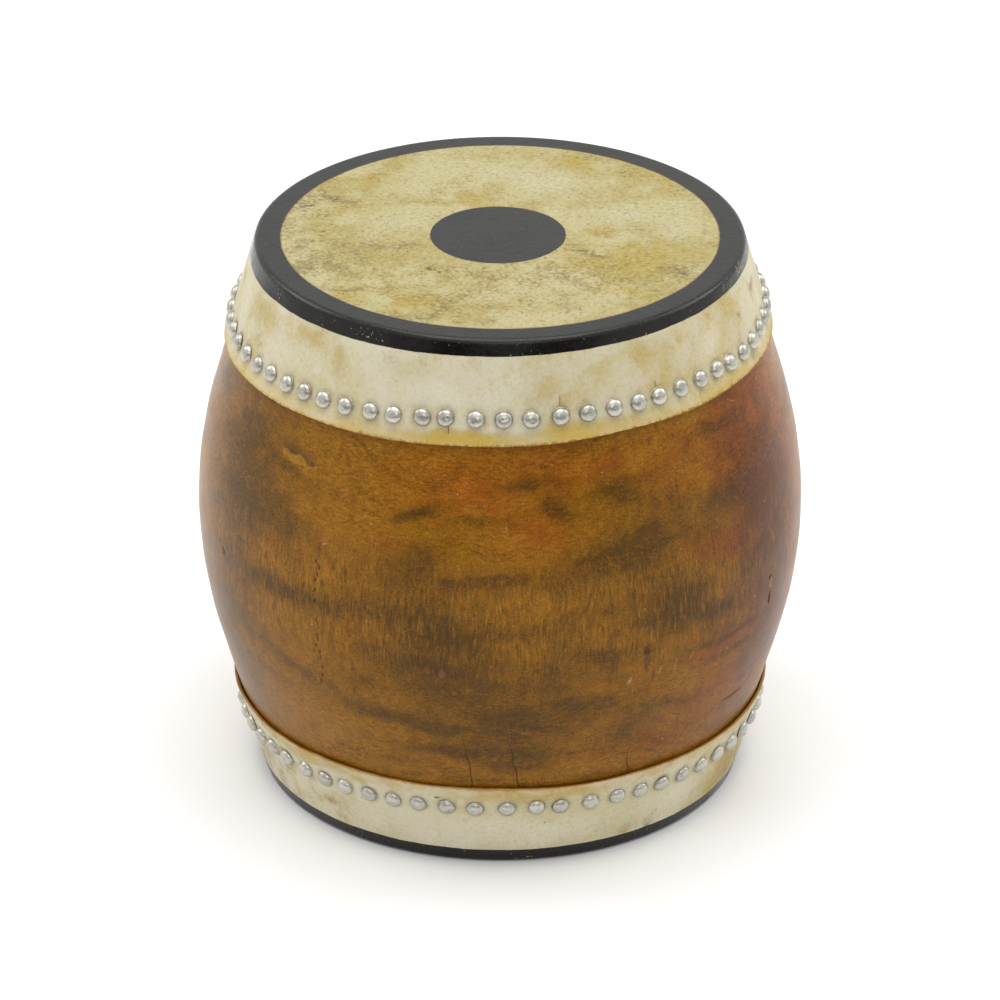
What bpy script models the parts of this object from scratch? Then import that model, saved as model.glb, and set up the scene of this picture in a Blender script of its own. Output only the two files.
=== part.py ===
"""A two-headed barrel drum.

The shell is one hollowed log, turned to a barrel. A wet rawhide was drawn over each end, folded
down the side as a skirt, and nailed through the skirt with a row of domed tacks. Once the hide
has dried, the tacks hold it tight, so the drum has no hoops, cords or lugs.

The drum stands on its lower head. The origin is at the middle of that head, +Z runs up the
drum's axis, and angles round the drum start at the front (-Y) and grow towards the right (+X).
"""

import math
import random

import bmesh
import bpy
from mathutils import Matrix, Vector

# Overall size, over both heads.
HEIGHT = 0.358
BELLY_RADIUS = 0.189

# Outline of the shell: an arc round the belly, running into a straight cone at each end.
BELLY_ARC_HALF_HEIGHT = 0.078
CONE_ANGLE = math.radians(16.2)

# Shell wall, thick at the belly and thinner at the two bearing edges.
BELLY_WALL = 0.024
EDGE_WALL = 0.0140

# Rawhide heads. Each skirt lies on the shell as far as the tacks and lifts a little below them.
# A slanted skirt is trimmed higher on the right than on the left, and its tacks follow it.
HIDE_THICKNESS = 0.0018
SHOULDER_RADIUS = 0.0035
TOP_SKIRT_DEPTH = 0.0617
TOP_SKIRT_SLANT = 0.0036
BOTTOM_SKIRT_DEPTH = 0.0608
BOTTOM_SKIRT_SLANT = 0.0
SKIRT_LIFT = 0.0013
LIFT_STARTS_PAST_TACKS = 0.0072

# Domed tacks.
TACK_HEAD_RADIUS = 0.00535
TACK_HEAD_HEIGHT = 0.0040
TACK_HEAD_RINGS = 3
TACK_SHANK_RADIUS = 0.0009
TACK_SHANK_LENGTH = 0.0140
TACK_POINT_LENGTH = 0.0020
TACK_SIDES = 10

# Rows of tacks. Each row is driven by eye, so its spacing and height wander a little. A row's
# line bends too: it gives how much further in the row lies, in metres, at degrees round the drum.
TOP_ROW_DEPTH = 0.0466
TOP_ROW_LINE = (
    (-180, 0.0010),
    (-70, 0.0026),
    (-33, 0.0028),
    (-13, 0.0),
    (8, 0.0),
    (28, 0.0009),
    (180, 0.0010),
)
TOP_ROW_PLACES = 62
TOP_ROW_STEP = 2
TOP_ROW_START = math.radians(0.8)
TOP_ROW_SEED = 11
BOTTOM_ROW_DEPTH = 0.0436
BOTTOM_ROW_LINE = (
    (-180, 0.0),
    (-22, -0.0002),
    (-5, 0.0020),
    (13, 0.0024),
    (25, -0.0006),
    (60, 0.0003),
    (180, 0.0),
)
BOTTOM_ROW_PLACES = 59
BOTTOM_ROW_STEP = 3
BOTTOM_ROW_START = math.radians(1.1)
BOTTOM_ROW_SEED = 23
ROW_ANGLE_WANDER = math.radians(0.35)
ROW_HEIGHT_WANDER = 0.0005

# Clearance between pieces that touch, and round a shank in its hole.
CLEARANCE = 0.0003
HOLE_DEPTH_TO_SPARE = 0.0010
HOLE_SIDES = 8

# Facets.
TURNED_SEGMENTS = 60
BELLY_ARC_STEPS = 4
SHOULDER_STEPS = 3
INNER_WALL_RINGS = 4
SMOOTH_ANGLE = math.radians(35)
MERGE_DISTANCE = 1e-6

# Finishes: linear base colour, roughness, metallic.
WOOD_FINISH = ((0.26, 0.10, 0.02), 0.32, 0.0)
HIDE_FINISH = ((0.66, 0.58, 0.35), 0.60, 0.0)
TACK_FINISH = ((0.62, 0.62, 0.60), 0.38, 1.0)

MIDDLE = HEIGHT / 2.0


def clear_scene():
    """Remove the objects that a new Blender scene starts with."""
    for item in list(bpy.data.objects):
        bpy.data.objects.remove(item, do_unlink=True)


def make_material(name, finish):
    """Return a Principled material from a (colour, roughness, metallic) finish."""
    colour, roughness, metallic = finish
    material = bpy.data.materials.new(name)
    material.use_nodes = True
    shader = material.node_tree.nodes["Principled BSDF"]
    shader.inputs["Base Color"].default_value = (*colour, 1.0)
    shader.inputs["Roughness"].default_value = roughness
    shader.inputs["Metallic"].default_value = metallic
    return material


def add_node(name, mesh, material, parent):
    """Make one named sub-part from a mesh and parent it to the drum's empty."""
    if not mesh.materials:
        mesh.materials.append(material)
    item = bpy.data.objects.new(name, mesh)
    item.parent = parent
    bpy.context.scene.collection.objects.link(item)
    return item


def around(angle, radius, height):
    """Return the point at an angle round the drum, at a radius and a height."""
    return Vector((radius * math.sin(angle), -radius * math.cos(angle), height))


def wood_radius(rise):
    """Return the shell's outer radius at a distance above or below mid-height."""
    rise = abs(rise)
    arc_radius = BELLY_ARC_HALF_HEIGHT / math.sin(CONE_ANGLE)
    if rise < BELLY_ARC_HALF_HEIGHT:
        return BELLY_RADIUS - arc_radius + math.sqrt(arc_radius ** 2 - rise ** 2)
    arc_drop = arc_radius * (1.0 - math.cos(CONE_ANGLE))
    return BELLY_RADIUS - arc_drop - (rise - BELLY_ARC_HALF_HEIGHT) * math.tan(CONE_ANGLE)


def cone_radius(rise, offset):
    """Return the radius of a surface lying a distance outside the shell's cone."""
    return wood_radius(rise) + offset / math.cos(CONE_ANGLE)


def shoulder_points(top_rise, offset, radius):
    """Return the rounded corner between a flat end and the cone, from the flat outwards.

    top_rise is the flat's distance from mid-height, and offset is how far the cone side lies
    outside the shell's own cone.
    """
    turn = math.pi / 2.0 - CONE_ANGLE
    corner = cone_radius(top_rise, offset)
    centre_radius = corner - radius * math.tan(turn / 2.0)
    centre_rise = top_rise - radius
    points = []
    for step in range(SHOULDER_STEPS + 1):
        lean = turn * step / SHOULDER_STEPS
        points.append((centre_radius + radius * math.sin(lean), centre_rise + radius * math.cos(lean)))
    return points


def spin_profile(points, closed, segments=TURNED_SEGMENTS):
    """Turn an (r, z) outline once round the axis and return the closed bmesh."""
    body = bmesh.new()
    corners = [body.verts.new((radius, 0.0, height)) for radius, height in points]
    pairs = list(zip(corners, corners[1:]))
    if closed:
        pairs.append((corners[-1], corners[0]))
    edges = [body.edges.new(pair) for pair in pairs]
    bmesh.ops.spin(
        body,
        geom=corners + edges,
        cent=(0.0, 0.0, 0.0),
        axis=(0.0, 0.0, 1.0),
        angle=math.tau,
        steps=segments,
        use_merge=True,
    )
    bmesh.ops.remove_doubles(body, verts=body.verts, dist=MERGE_DISTANCE)
    bmesh.ops.recalc_face_normals(body, faces=body.faces)
    return body


def to_mesh(name, body):
    """Store a bmesh as a smooth-shaded mesh with crisp edges kept."""
    mesh = bpy.data.meshes.new(name)
    body.to_mesh(mesh)
    body.free()
    mesh.shade_smooth()
    mesh.set_sharp_from_angle(angle=SMOOTH_ANGLE)
    return mesh


def build_shell(material, parent):
    """Make the hollow log shell, open at both ends."""
    end_rise = MIDDLE - HIDE_THICKNESS - CLEARANCE
    edge_radius = SHOULDER_RADIUS - HIDE_THICKNESS - CLEARANCE
    belly = []
    for step in range(-BELLY_ARC_STEPS, BELLY_ARC_STEPS + 1):
        rise = BELLY_ARC_HALF_HEIGHT * step / BELLY_ARC_STEPS
        belly.append((wood_radius(rise), rise))
    upper_edge = shoulder_points(end_rise, 0.0, edge_radius)
    lower_edge = [(radius, -rise) for radius, rise in upper_edge]
    inside = []
    for ring in range(-INNER_WALL_RINGS, INNER_WALL_RINGS + 1):
        share = ring / INNER_WALL_RINGS
        wall = BELLY_WALL + (EDGE_WALL - BELLY_WALL) * abs(share)
        inside.append((wood_radius(end_rise * share) - wall, end_rise * share))
    outline = lower_edge + belly + upper_edge[::-1] + inside[::-1]
    outline = [(radius, MIDDLE + rise) for radius, rise in outline]
    return add_node("shell", to_mesh("shell", spin_profile(outline, closed=True)), material, parent)


def skirt_climb(angle_sine, depth, skirt_depth, skirt_slant):
    """Return how far a slanted skirt climbs at a depth below the playing skin."""
    return skirt_slant * angle_sine * depth / skirt_depth


def build_head(name, side, row_depth, skirt_depth, skirt_slant, material, parent):
    """Make one rawhide head: the flat playing skin, its shoulder and its skirt.

    side is 1 for the upper head and -1 for the lower one.
    """
    lift_rise = MIDDLE - row_depth - LIFT_STARTS_PAST_TACKS
    edge_rise = MIDDLE - skirt_depth
    hide_offset = HIDE_THICKNESS + CLEARANCE
    outer = shoulder_points(MIDDLE, hide_offset, SHOULDER_RADIUS)
    outer.append((cone_radius(lift_rise, hide_offset), lift_rise))
    outer.append((cone_radius(edge_rise, hide_offset + SKIRT_LIFT), edge_rise))
    inner = shoulder_points(MIDDLE - HIDE_THICKNESS, CLEARANCE, SHOULDER_RADIUS - HIDE_THICKNESS)
    inner.append((cone_radius(lift_rise, CLEARANCE), lift_rise))
    inner.append((cone_radius(edge_rise, CLEARANCE + SKIRT_LIFT), edge_rise))
    outline = [(0.0, MIDDLE)] + outer + inner[::-1] + [(0.0, MIDDLE - HIDE_THICKNESS)]
    body = spin_profile(outline, closed=False)
    for corner in body.verts:
        if corner.co.z < lift_rise + MERGE_DISTANCE:
            slant_corner(corner, skirt_depth, skirt_slant)
        corner.co.z = MIDDLE + side * corner.co.z
    bmesh.ops.recalc_face_normals(body, faces=body.faces)
    return add_node(name, to_mesh(name, body), material, parent)


def slant_corner(corner, skirt_depth, skirt_slant):
    """Slide a skirt corner along the cone, so that the skirt's edge slants."""
    radius = math.hypot(corner.co.x, corner.co.y)
    depth = MIDDLE - corner.co.z
    climb = skirt_climb(corner.co.x / radius, depth, skirt_depth, skirt_slant)
    factor = (radius - climb * math.tan(CONE_ANGLE)) / radius
    corner.co = Vector((corner.co.x * factor, corner.co.y * factor, corner.co.z + climb))


def tack_profile():
    """Return the (r, z) outline of a tack, from the dome's crown to the point."""
    outline = []
    for ring in range(TACK_HEAD_RINGS + 1):
        lean = math.pi / 2.0 * ring / TACK_HEAD_RINGS
        outline.append((TACK_HEAD_RADIUS * math.sin(lean), TACK_HEAD_HEIGHT * math.cos(lean)))
    outline.append((TACK_SHANK_RADIUS, 0.0))
    outline.append((TACK_SHANK_RADIUS, TACK_POINT_LENGTH - TACK_SHANK_LENGTH))
    outline.append((0.0, -TACK_SHANK_LENGTH))
    return outline


def tack_mesh():
    """Make the one tack mesh that every tack shares."""
    return to_mesh("tack", spin_profile(tack_profile(), closed=False, segments=TACK_SIDES))


def further_in(line, angle):
    """Return how much further in a row lies at an angle, along its bent line."""
    degrees = (math.degrees(angle) + 180.0) % 360.0 - 180.0
    for (start, first), (stop, last) in zip(line, line[1:]):
        if degrees <= stop:
            break
    return first + (last - first) * (degrees - start) / (stop - start)


def row_frames(side, places, start, line, row_depth, skirt_depth, skirt_slant, seed):
    """Return each tack's place in a row: a matrix with +Z pointing out of the hide."""
    wander = random.Random(seed)
    frames = []
    for place in range(places):
        angle = start + math.tau * place / places + wander.uniform(-1.0, 1.0) * ROW_ANGLE_WANDER
        rise = MIDDLE - row_depth + wander.uniform(-1.0, 1.0) * ROW_HEIGHT_WANDER
        rise += skirt_climb(math.sin(angle), row_depth, skirt_depth, skirt_slant)
        rise -= further_in(line, angle)
        radius = cone_radius(rise, HIDE_THICKNESS + 2.0 * CLEARANCE)
        point = around(angle, radius, MIDDLE + side * rise)
        out = around(angle, math.cos(CONE_ANGLE), side * math.sin(CONE_ANGLE))
        turn = out.to_track_quat("Z", "Y").to_matrix().to_4x4()
        frames.append(Matrix.Translation(point) @ turn)
    return frames


def build_row(row, frames, step, mesh, material, parent):
    """Place the tacks of a row, one in every step places, numbered by their place."""
    chosen = list(range(0, len(frames), step))
    for place in chosen:
        tack = add_node(f"tack_{row}_{place + 1:02d}", mesh, material, parent)
        tack.matrix_basis = frames[place]
    return [frames[place] for place in chosen]


def build_hole_cutter(name, frames, parent):
    """Make one cutter holding the round hole of each tack in a row."""
    body = bmesh.new()
    reach = TACK_SHANK_LENGTH + HOLE_DEPTH_TO_SPARE
    for frame in frames:
        bmesh.ops.create_cone(
            body,
            cap_ends=True,
            cap_tris=False,
            segments=HOLE_SIDES,
            radius1=TACK_SHANK_RADIUS + CLEARANCE,
            radius2=TACK_SHANK_RADIUS + CLEARANCE,
            depth=2.0 * reach,
            matrix=frame,
        )
    mesh = bpy.data.meshes.new(name)
    body.to_mesh(mesh)
    body.free()
    cutter = bpy.data.objects.new(name, mesh)
    cutter.parent = parent
    cutter.hide_render = True
    cutter.display_type = "WIRE"
    bpy.context.scene.collection.objects.link(cutter)
    return cutter


def cut_holes(item, cutter):
    """Cut the holes of one row of tacks out of a sub-part."""
    cut = item.modifiers.new(cutter.name, "BOOLEAN")
    cut.operation = "DIFFERENCE"
    cut.solver = "EXACT"
    cut.object = cutter


def main():
    clear_scene()
    wood = make_material("wood", WOOD_FINISH)
    rawhide = make_material("rawhide", HIDE_FINISH)
    steel = make_material("tack_steel", TACK_FINISH)
    drum = bpy.data.objects.new("drum", None)
    bpy.context.scene.collection.objects.link(drum)

    shell = build_shell(wood, drum)
    top = (TOP_ROW_DEPTH, TOP_SKIRT_DEPTH, TOP_SKIRT_SLANT)
    bottom = (BOTTOM_ROW_DEPTH, BOTTOM_SKIRT_DEPTH, BOTTOM_SKIRT_SLANT)
    upper = build_head("drumhead_top", 1, *top, rawhide, drum)
    lower = build_head("drumhead_bottom", -1, *bottom, rawhide, drum)

    tack = tack_mesh()
    top_row = (TOP_ROW_PLACES, TOP_ROW_START, TOP_ROW_LINE)
    bottom_row = (BOTTOM_ROW_PLACES, BOTTOM_ROW_START, BOTTOM_ROW_LINE)
    top_places = row_frames(1, *top_row, *top, TOP_ROW_SEED)
    bottom_places = row_frames(-1, *bottom_row, *bottom, BOTTOM_ROW_SEED)
    top_tacks = build_row("top", top_places, TOP_ROW_STEP, tack, steel, drum)
    bottom_tacks = build_row("bottom", bottom_places, BOTTOM_ROW_STEP, tack, steel, drum)

    top_cutter = build_hole_cutter("top_tack_holes", top_tacks, drum)
    bottom_cutter = build_hole_cutter("bottom_tack_holes", bottom_tacks, drum)
    cut_holes(upper, top_cutter)
    cut_holes(lower, bottom_cutter)
    cut_holes(shell, top_cutter)
    cut_holes(shell, bottom_cutter)


main()
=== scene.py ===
"""Looks for the two-headed barrel drum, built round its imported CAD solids.

Angles round the drum start at the front (-Y) and grow towards the right (+X). A height is
measured up from the floor and a rise from the drum's mid-height. Lengths are in metres.
"""

import math

import bmesh
import bpy
import numpy as np
from mathutils import Matrix, Vector, noise


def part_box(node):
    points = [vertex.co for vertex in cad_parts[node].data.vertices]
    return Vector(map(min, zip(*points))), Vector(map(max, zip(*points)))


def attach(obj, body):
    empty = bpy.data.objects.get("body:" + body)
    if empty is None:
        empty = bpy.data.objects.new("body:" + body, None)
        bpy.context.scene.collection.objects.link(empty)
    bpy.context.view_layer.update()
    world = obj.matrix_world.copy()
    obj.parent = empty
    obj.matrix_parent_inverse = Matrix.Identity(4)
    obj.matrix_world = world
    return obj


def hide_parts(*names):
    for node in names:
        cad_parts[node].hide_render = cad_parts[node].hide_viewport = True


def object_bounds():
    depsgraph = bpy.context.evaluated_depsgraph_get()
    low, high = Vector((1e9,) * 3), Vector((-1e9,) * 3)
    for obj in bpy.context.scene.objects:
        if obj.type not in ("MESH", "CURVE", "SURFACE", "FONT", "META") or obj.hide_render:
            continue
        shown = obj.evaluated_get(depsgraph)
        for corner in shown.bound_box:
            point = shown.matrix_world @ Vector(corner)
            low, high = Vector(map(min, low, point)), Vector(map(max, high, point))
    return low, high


MM = 0.001

# ---------------------------------------------------------------------------------------------
# The frame
# ---------------------------------------------------------------------------------------------

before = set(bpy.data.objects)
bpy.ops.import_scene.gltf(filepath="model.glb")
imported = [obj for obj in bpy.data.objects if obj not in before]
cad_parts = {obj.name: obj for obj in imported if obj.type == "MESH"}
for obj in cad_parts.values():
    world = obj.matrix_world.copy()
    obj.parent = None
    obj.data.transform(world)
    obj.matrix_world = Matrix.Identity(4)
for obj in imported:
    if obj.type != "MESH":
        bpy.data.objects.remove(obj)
CAD_LOW, CAD_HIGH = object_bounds()
SHELL_LOW, SHELL_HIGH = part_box("shell")

HEIGHT = CAD_HIGH.z
MIDDLE = HEIGHT / 2.0
BELLY_RADIUS = SHELL_HIGH.x
BOTTOM_SKIRT_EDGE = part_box("drumhead_bottom")[1].z
TOP_SKIRT_EDGE_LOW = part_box("drumhead_top")[0].z

# The outline that the CAD solids follow: a belly arc between two cones, and a hide over it.
CONE_ANGLE = math.radians(16.2)
BELLY_ARC_HALF_HEIGHT = 78 * MM
BELLY_WALL = 24 * MM
EDGE_WALL = 14 * MM
HIDE = 1.8 * MM
GAP = 0.3 * MM
SHOULDER = 3.5 * MM
TOP_SLANT = 3.6 * MM
TOP_SKIRT_DEPTH = HEIGHT - TOP_SKIRT_EDGE_LOW - TOP_SLANT
SKIRT_LIFT = 1.3 * MM
LOWER_SKIRT_LIFT = 0.6 * MM
LIFT_STARTS_PAST_TACKS = 7.2 * MM
TACK_HEAD_HEIGHT = 4.0 * MM
TACK_HEAD_RADIUS = 5.35 * MM
TOP_PLACES = 62
BOTTOM_PLACES = 59

# Paint on the heads.
BAND_INNER_RADIUS = 135.4 * MM
BAND_DEPTH = 9.7 * MM
PAINT_SLOPE = 1.9 * MM
PATCH_RADIUS = 41.9 * MM
PATCH_CENTRE = (-1.2 * MM, -0.4 * MM, 0.0)

# How finely the pieces are meshed.
SEGMENTS = 540
SKIN_RING_STEP = 1.7 * MM
SKIRT_RING_STEP = 1.1 * MM
WOOD_RING_STEP = 1.7 * MM


# ---------------------------------------------------------------------------------------------
# Outline
# ---------------------------------------------------------------------------------------------


def wood_radius(rise):
    """The shell's outer radius at a rise from mid-height, for a number or an array."""
    rise = np.abs(rise)
    arc = BELLY_ARC_HALF_HEIGHT / math.sin(CONE_ANGLE)
    belly = BELLY_RADIUS - arc + np.sqrt(np.maximum(arc ** 2 - np.minimum(rise, arc) ** 2, 0.0))
    arc_drop = arc * (1.0 - math.cos(CONE_ANGLE))
    cone = BELLY_RADIUS - arc_drop - (rise - BELLY_ARC_HALF_HEIGHT) * math.tan(CONE_ANGLE)
    return np.where(rise < BELLY_ARC_HALF_HEIGHT, belly, cone)


def cone_radius(rise, offset):
    """The radius of a surface lying a distance outside the shell's cone."""
    return wood_radius(rise) + offset / math.cos(CONE_ANGLE)


def shoulder_arc(top_rise, offset, radius, steps):
    """The rounded corner between a flat end and the cone, as (radius, rise) pairs."""
    turn = math.pi / 2.0 - CONE_ANGLE
    centre_radius = float(cone_radius(top_rise, offset)) - radius * math.tan(turn / 2.0)
    leans = [turn * step / steps for step in range(steps + 1)]
    return [
        (centre_radius + radius * math.sin(lean), top_rise - radius + radius * math.cos(lean))
        for lean in leans
    ]


def spaced(start, stop, step):
    """Evenly spaced values from start to stop, no further apart than step."""
    count = max(2, int(math.ceil(abs(stop - start) / step)) + 1)
    return [float(value) for value in np.linspace(start, stop, count)]


ANGLES = np.arange(SEGMENTS) * (math.tau / SEGMENTS)
SIN = np.sin(ANGLES)
COS = np.cos(ANGLES)


def smoothstep(value, low, high):
    """0 below low, 1 above high and a smooth rise between, for arrays."""
    share = np.clip((value - low) / (high - low), 0.0, 1.0)
    return share * share * (3.0 - 2.0 * share)


def angle_gap(angles, angle):
    """The signed angle from one direction to others, between minus and plus half a turn."""
    return (angles - angle + math.pi) % math.tau - math.pi


def wander(angles, seed, waves, reach):
    """A smooth closed wobble round the drum, of about unit size, made of a few waves."""
    draw = np.random.default_rng(seed)
    total = np.zeros_like(angles)
    for _ in range(waves):
        turns = int(draw.integers(1, reach))
        total += draw.normal() * np.cos(turns * angles + draw.uniform(0.0, math.tau))
    return total / math.sqrt(waves)


# ---------------------------------------------------------------------------------------------
# Meshes
# ---------------------------------------------------------------------------------------------


def turned_points(profile, climb=None):
    """Rings of points for an (r, z) profile. climb moves a ring up the cone, by angle."""
    rings = []
    for index, (radius, height) in enumerate(profile):
        lift = np.zeros(SEGMENTS) if climb is None else climb[index]
        rings.append(np.stack([radius * SIN, -radius * COS, height + lift], axis=1))
    return np.array(rings)


def ring_faces(rows, wrap):
    """Quads between neighbouring rings, and from the last ring to the first if wrap."""
    columns = np.arange(SEGMENTS)
    following = (columns + 1) % SEGMENTS
    quads = []
    for row in range(rows if wrap else rows - 1):
        here = row * SEGMENTS
        there = ((row + 1) % rows) * SEGMENTS
        quads.append(np.stack([here + columns, here + following, there + following, there + columns], 1))
    return np.concatenate(quads)


def make_object(name, vertices, faces, smooth_angle=math.radians(40)):
    """A smooth-shaded object from vertex and face lists, its faces pointing outwards."""
    mesh = bpy.data.meshes.new(name)
    mesh.from_pydata([tuple(point) for point in vertices], [], [tuple(face) for face in faces])
    body = bmesh.new()
    body.from_mesh(mesh)
    bmesh.ops.recalc_face_normals(body, faces=body.faces)
    body.to_mesh(mesh)
    body.free()
    mesh.shade_smooth()
    mesh.set_sharp_from_angle(angle=smooth_angle)
    item = bpy.data.objects.new(name, mesh)
    bpy.context.scene.collection.objects.link(item)
    return item


def set_attribute(item, name, values):
    """Store one number for each vertex, for the material to read."""
    layer = item.data.attributes.new(name, "FLOAT", "POINT")
    layer.data.foreach_set("value", np.asarray(values, dtype=np.float32))


def vertex_array(item):
    """The object's vertex positions as an array."""
    flat = np.zeros(len(item.data.vertices) * 3)
    item.data.vertices.foreach_get("co", flat)
    return flat.reshape(-1, 3)


# ---------------------------------------------------------------------------------------------
# Tack places, read from the CAD tacks and filled in between them
# ---------------------------------------------------------------------------------------------


def cad_tack_place(node, side):
    """The angle and the height of a CAD tack, from the crown of its head."""
    points = vertex_array(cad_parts[node])
    middle = (points.min(0) + points.max(0)) / 2.0
    angle = math.atan2(middle[0], -middle[1])
    out = out_of_hide(angle, side)
    crown = points[int(np.argmax(points @ np.array(out)))]
    foot = Vector(crown) - out * TACK_HEAD_HEIGHT
    return angle, foot.z


def out_of_hide(angle, side):
    """The direction straight out of the skirt at an angle round the drum."""
    flat = math.cos(CONE_ANGLE)
    return Vector((flat * math.sin(angle), -flat * math.cos(angle), side * math.sin(CONE_ANGLE)))


def tack_row(row, side, places, seed):
    """Every tack of a row as (angle, height): the CAD ones, and others spaced between them."""
    draw = np.random.default_rng(seed)
    known = {}
    for place in range(places):
        node = f"tack_{row}_{place + 1:02d}"
        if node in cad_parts:
            known[place] = cad_tack_place(node, side)
    filled = []
    held = sorted(known)
    for index, place in enumerate(held):
        following = held[(index + 1) % len(held)]
        span = (following - place) % places
        angle, height = known[place]
        turn = angle_gap(known[following][0], angle)
        rise = known[following][1] - height
        filled.append((angle, height))
        for step in range(1, span):
            share = step / span
            sideways = math.radians(draw.normal(0.0, 0.28))
            upwards = draw.normal(0.0, 0.35 * MM)
            filled.append((angle + turn * share + sideways, height + rise * share + upwards))
    return filled


TOP_ROW = tack_row("top", 1, TOP_PLACES, 5)
BOTTOM_ROW = tack_row("bottom", -1, BOTTOM_PLACES, 6)
TOP_ROW_DEPTH = HEIGHT - sum(height for _, height in TOP_ROW) / len(TOP_ROW)
BOTTOM_ROW_DEPTH = sum(height for _, height in BOTTOM_ROW) / len(BOTTOM_ROW)


# --------------------------------------------------------------------------------------------- The camera comes first
# The camera comes first, so that every test render is framed like the finished one
# ---------------------------------------------------------------------------------------------


def build_camera():
    """A long lens in front of the drum, looking down at it."""
    elevation = math.radians(26.93)
    distance = 4.186
    target = Vector((0.0, 0.0, 0.1746))
    data = bpy.data.cameras.new("camera")
    data.sensor_width = 36.0
    data.lens = 239.9
    data.clip_end = 50.0
    camera = bpy.data.objects.new("camera", data)
    back = Vector((0.0, -math.cos(elevation), math.sin(elevation)))
    camera.location = target + back * distance
    camera.rotation_mode = "QUATERNION"
    camera.rotation_quaternion = (-back).to_track_quat("-Z", "Y")
    bpy.context.scene.collection.objects.link(camera)
    bpy.context.scene.camera = camera


# ---------------------------------------------------------------------------------------------
# Wooden shell
# ---------------------------------------------------------------------------------------------

# Drying cracks that climb from the lower skirt: degrees, length, width and sideways lean, the
# last three in millimetres.
CRACKS = (
    (-6.0, 54, 0.7, -4.6),
    (3.7, 52, 0.8, -6.4),
    (28.1, 30, 0.6, -4.0),
    (118.0, 60, 0.9, 5.0),
    (-151.0, 44, 0.8, -3.0),
)
# Healed knots and old insect marks: degrees, rise, half width, half height and depth, the last
# four in millimetres.
KNOTS = (
    (28.3, -23, 2.8, 3.2, 1.4),
    (28.4, -31, 3.0, 8.0, 0.55),
    (30.0, -42, 1.6, 4.5, 0.50),
    (25.2, -41, 1.8, 1.8, 0.5),
    (62.3, -28, 1.3, 5.0, 1.0),
    (62.0, -13, 1.2, 2.4, 0.8),
    (36.6, 78, 1.6, 3.4, 0.4),
    (-7.0, 28, 0.6, 6.0, 0.4),
    (-64.0, 2, 4.0, 3.0, 0.5),
    (55.5, -89, 14.0, 1.5, 0.6),
    (140.0, 22, 3.0, 6.0, 1.2),
    (-120.0, -48, 2.4, 5.0, 0.9),
    (171.0, -12, 2.0, 8.0, 0.8),
)
# A round healed knot that stands a little proud, its middle paler than its rim: degrees, rise,
# half width, half height and height, the last four in millimetres.
HEALED_KNOTS = (
    (-10.8, -29, 3.0, 5.0, 0.5),
    (-3.9, 82, 1.6, 2.6, 0.3),
    (152.0, 40, 3.4, 5.6, 0.5),
)
# A row of pits, one above another.
PIT_ANGLE = -36.2
PIT_RISES = (30, 27, 22, 18, 11, 4, -9, -19, -22, -27, -31, -35, -42, -48, -53)
# Pale scratches in the varnish: degrees, height, half width, half height (mm) and lean.
SCRATCHES = (
    (25.1, 137, 1.6, 2.6, 0.3),
    (31.5, 139, 0.5, 3.0, 0.15),
    (35.0, 138, 0.45, 5.0, 0.10),
    (38.8, 142, 0.5, 4.0, 0.35),
    (44.5, 290, 0.9, 1.1, 0.8),
    (56.3, 290, 0.6, 2.6, -2.2),
    (62.4, 162, 0.9, 4.5, 0.1),
    (-27.5, 286, 1.6, 0.45, 3.0),
    (-35.0, 222, 1.4, 0.9, 1.5),
    (1.2, 246, 0.35, 6.0, 0.05),
    (118.0, 240, 0.5, 7.0, 0.4),
    (-140.0, 150, 0.5, 9.0, -0.3),
)
# A torn patch under the upper skirt: its middle, half length and half height.
SCAR_ANGLE = -44.0
SCAR_RISE = 88 * MM
SCAR_HALF_LENGTH = 16.5 * MM
SCAR_HALF_HEIGHT = 5.0 * MM


def crack_depth(angles, rises):
    """How deep the drying cracks cut at each point."""
    depth = np.zeros_like(rises)
    foot = BOTTOM_SKIRT_EDGE - MIDDLE
    for number, (degrees, length, width, lean) in enumerate(CRACKS):
        climb = (rises - foot) / (length * MM)
        bend = 0.8 * MM * np.sin(climb * 7.0 + number) + 0.4 * MM * np.sin(climb * 23.0 + 2 * number)
        across = angle_gap(angles, math.radians(degrees)) * BELLY_RADIUS - bend - climb * lean * MM
        half = 0.5 * width * MM * np.clip(1.15 - climb, 0.0, 1.0) ** 0.6
        groove = np.clip(1.0 - np.abs(across) / np.maximum(half, 1e-6), 0.0, 1.0)
        depth = np.maximum(depth, 1.1 * MM * groove * (climb < 1.15) * np.clip(1.3 - climb, 0.2, 1.0))
    return depth


def knot_depth(angles, rises):
    """How deep the knots and pits sink at each point."""
    depth = np.zeros_like(rises)
    pits = [(PIT_ANGLE + 0.5 * math.sin(rise), rise, 0.9, 1.9, 0.7) for rise in PIT_RISES]
    for degrees, rise, half_width, half_height, sink in list(KNOTS) + pits:
        across = angle_gap(angles, math.radians(degrees)) * BELLY_RADIUS / (half_width * MM)
        along = (rises - rise * MM) / (half_height * MM)
        turn = np.arctan2(along, across)
        rough = 1.0 + 0.10 * np.sin(3.0 * turn + rise) + 0.08 * np.sin(5.0 * turn + 2.0 * rise)
        reach = np.sqrt(across ** 2 + along ** 2) / rough
        depth = np.maximum(depth, sink * MM * (1.0 - smoothstep(reach, 0.35, 1.1)))
    return depth


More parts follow.
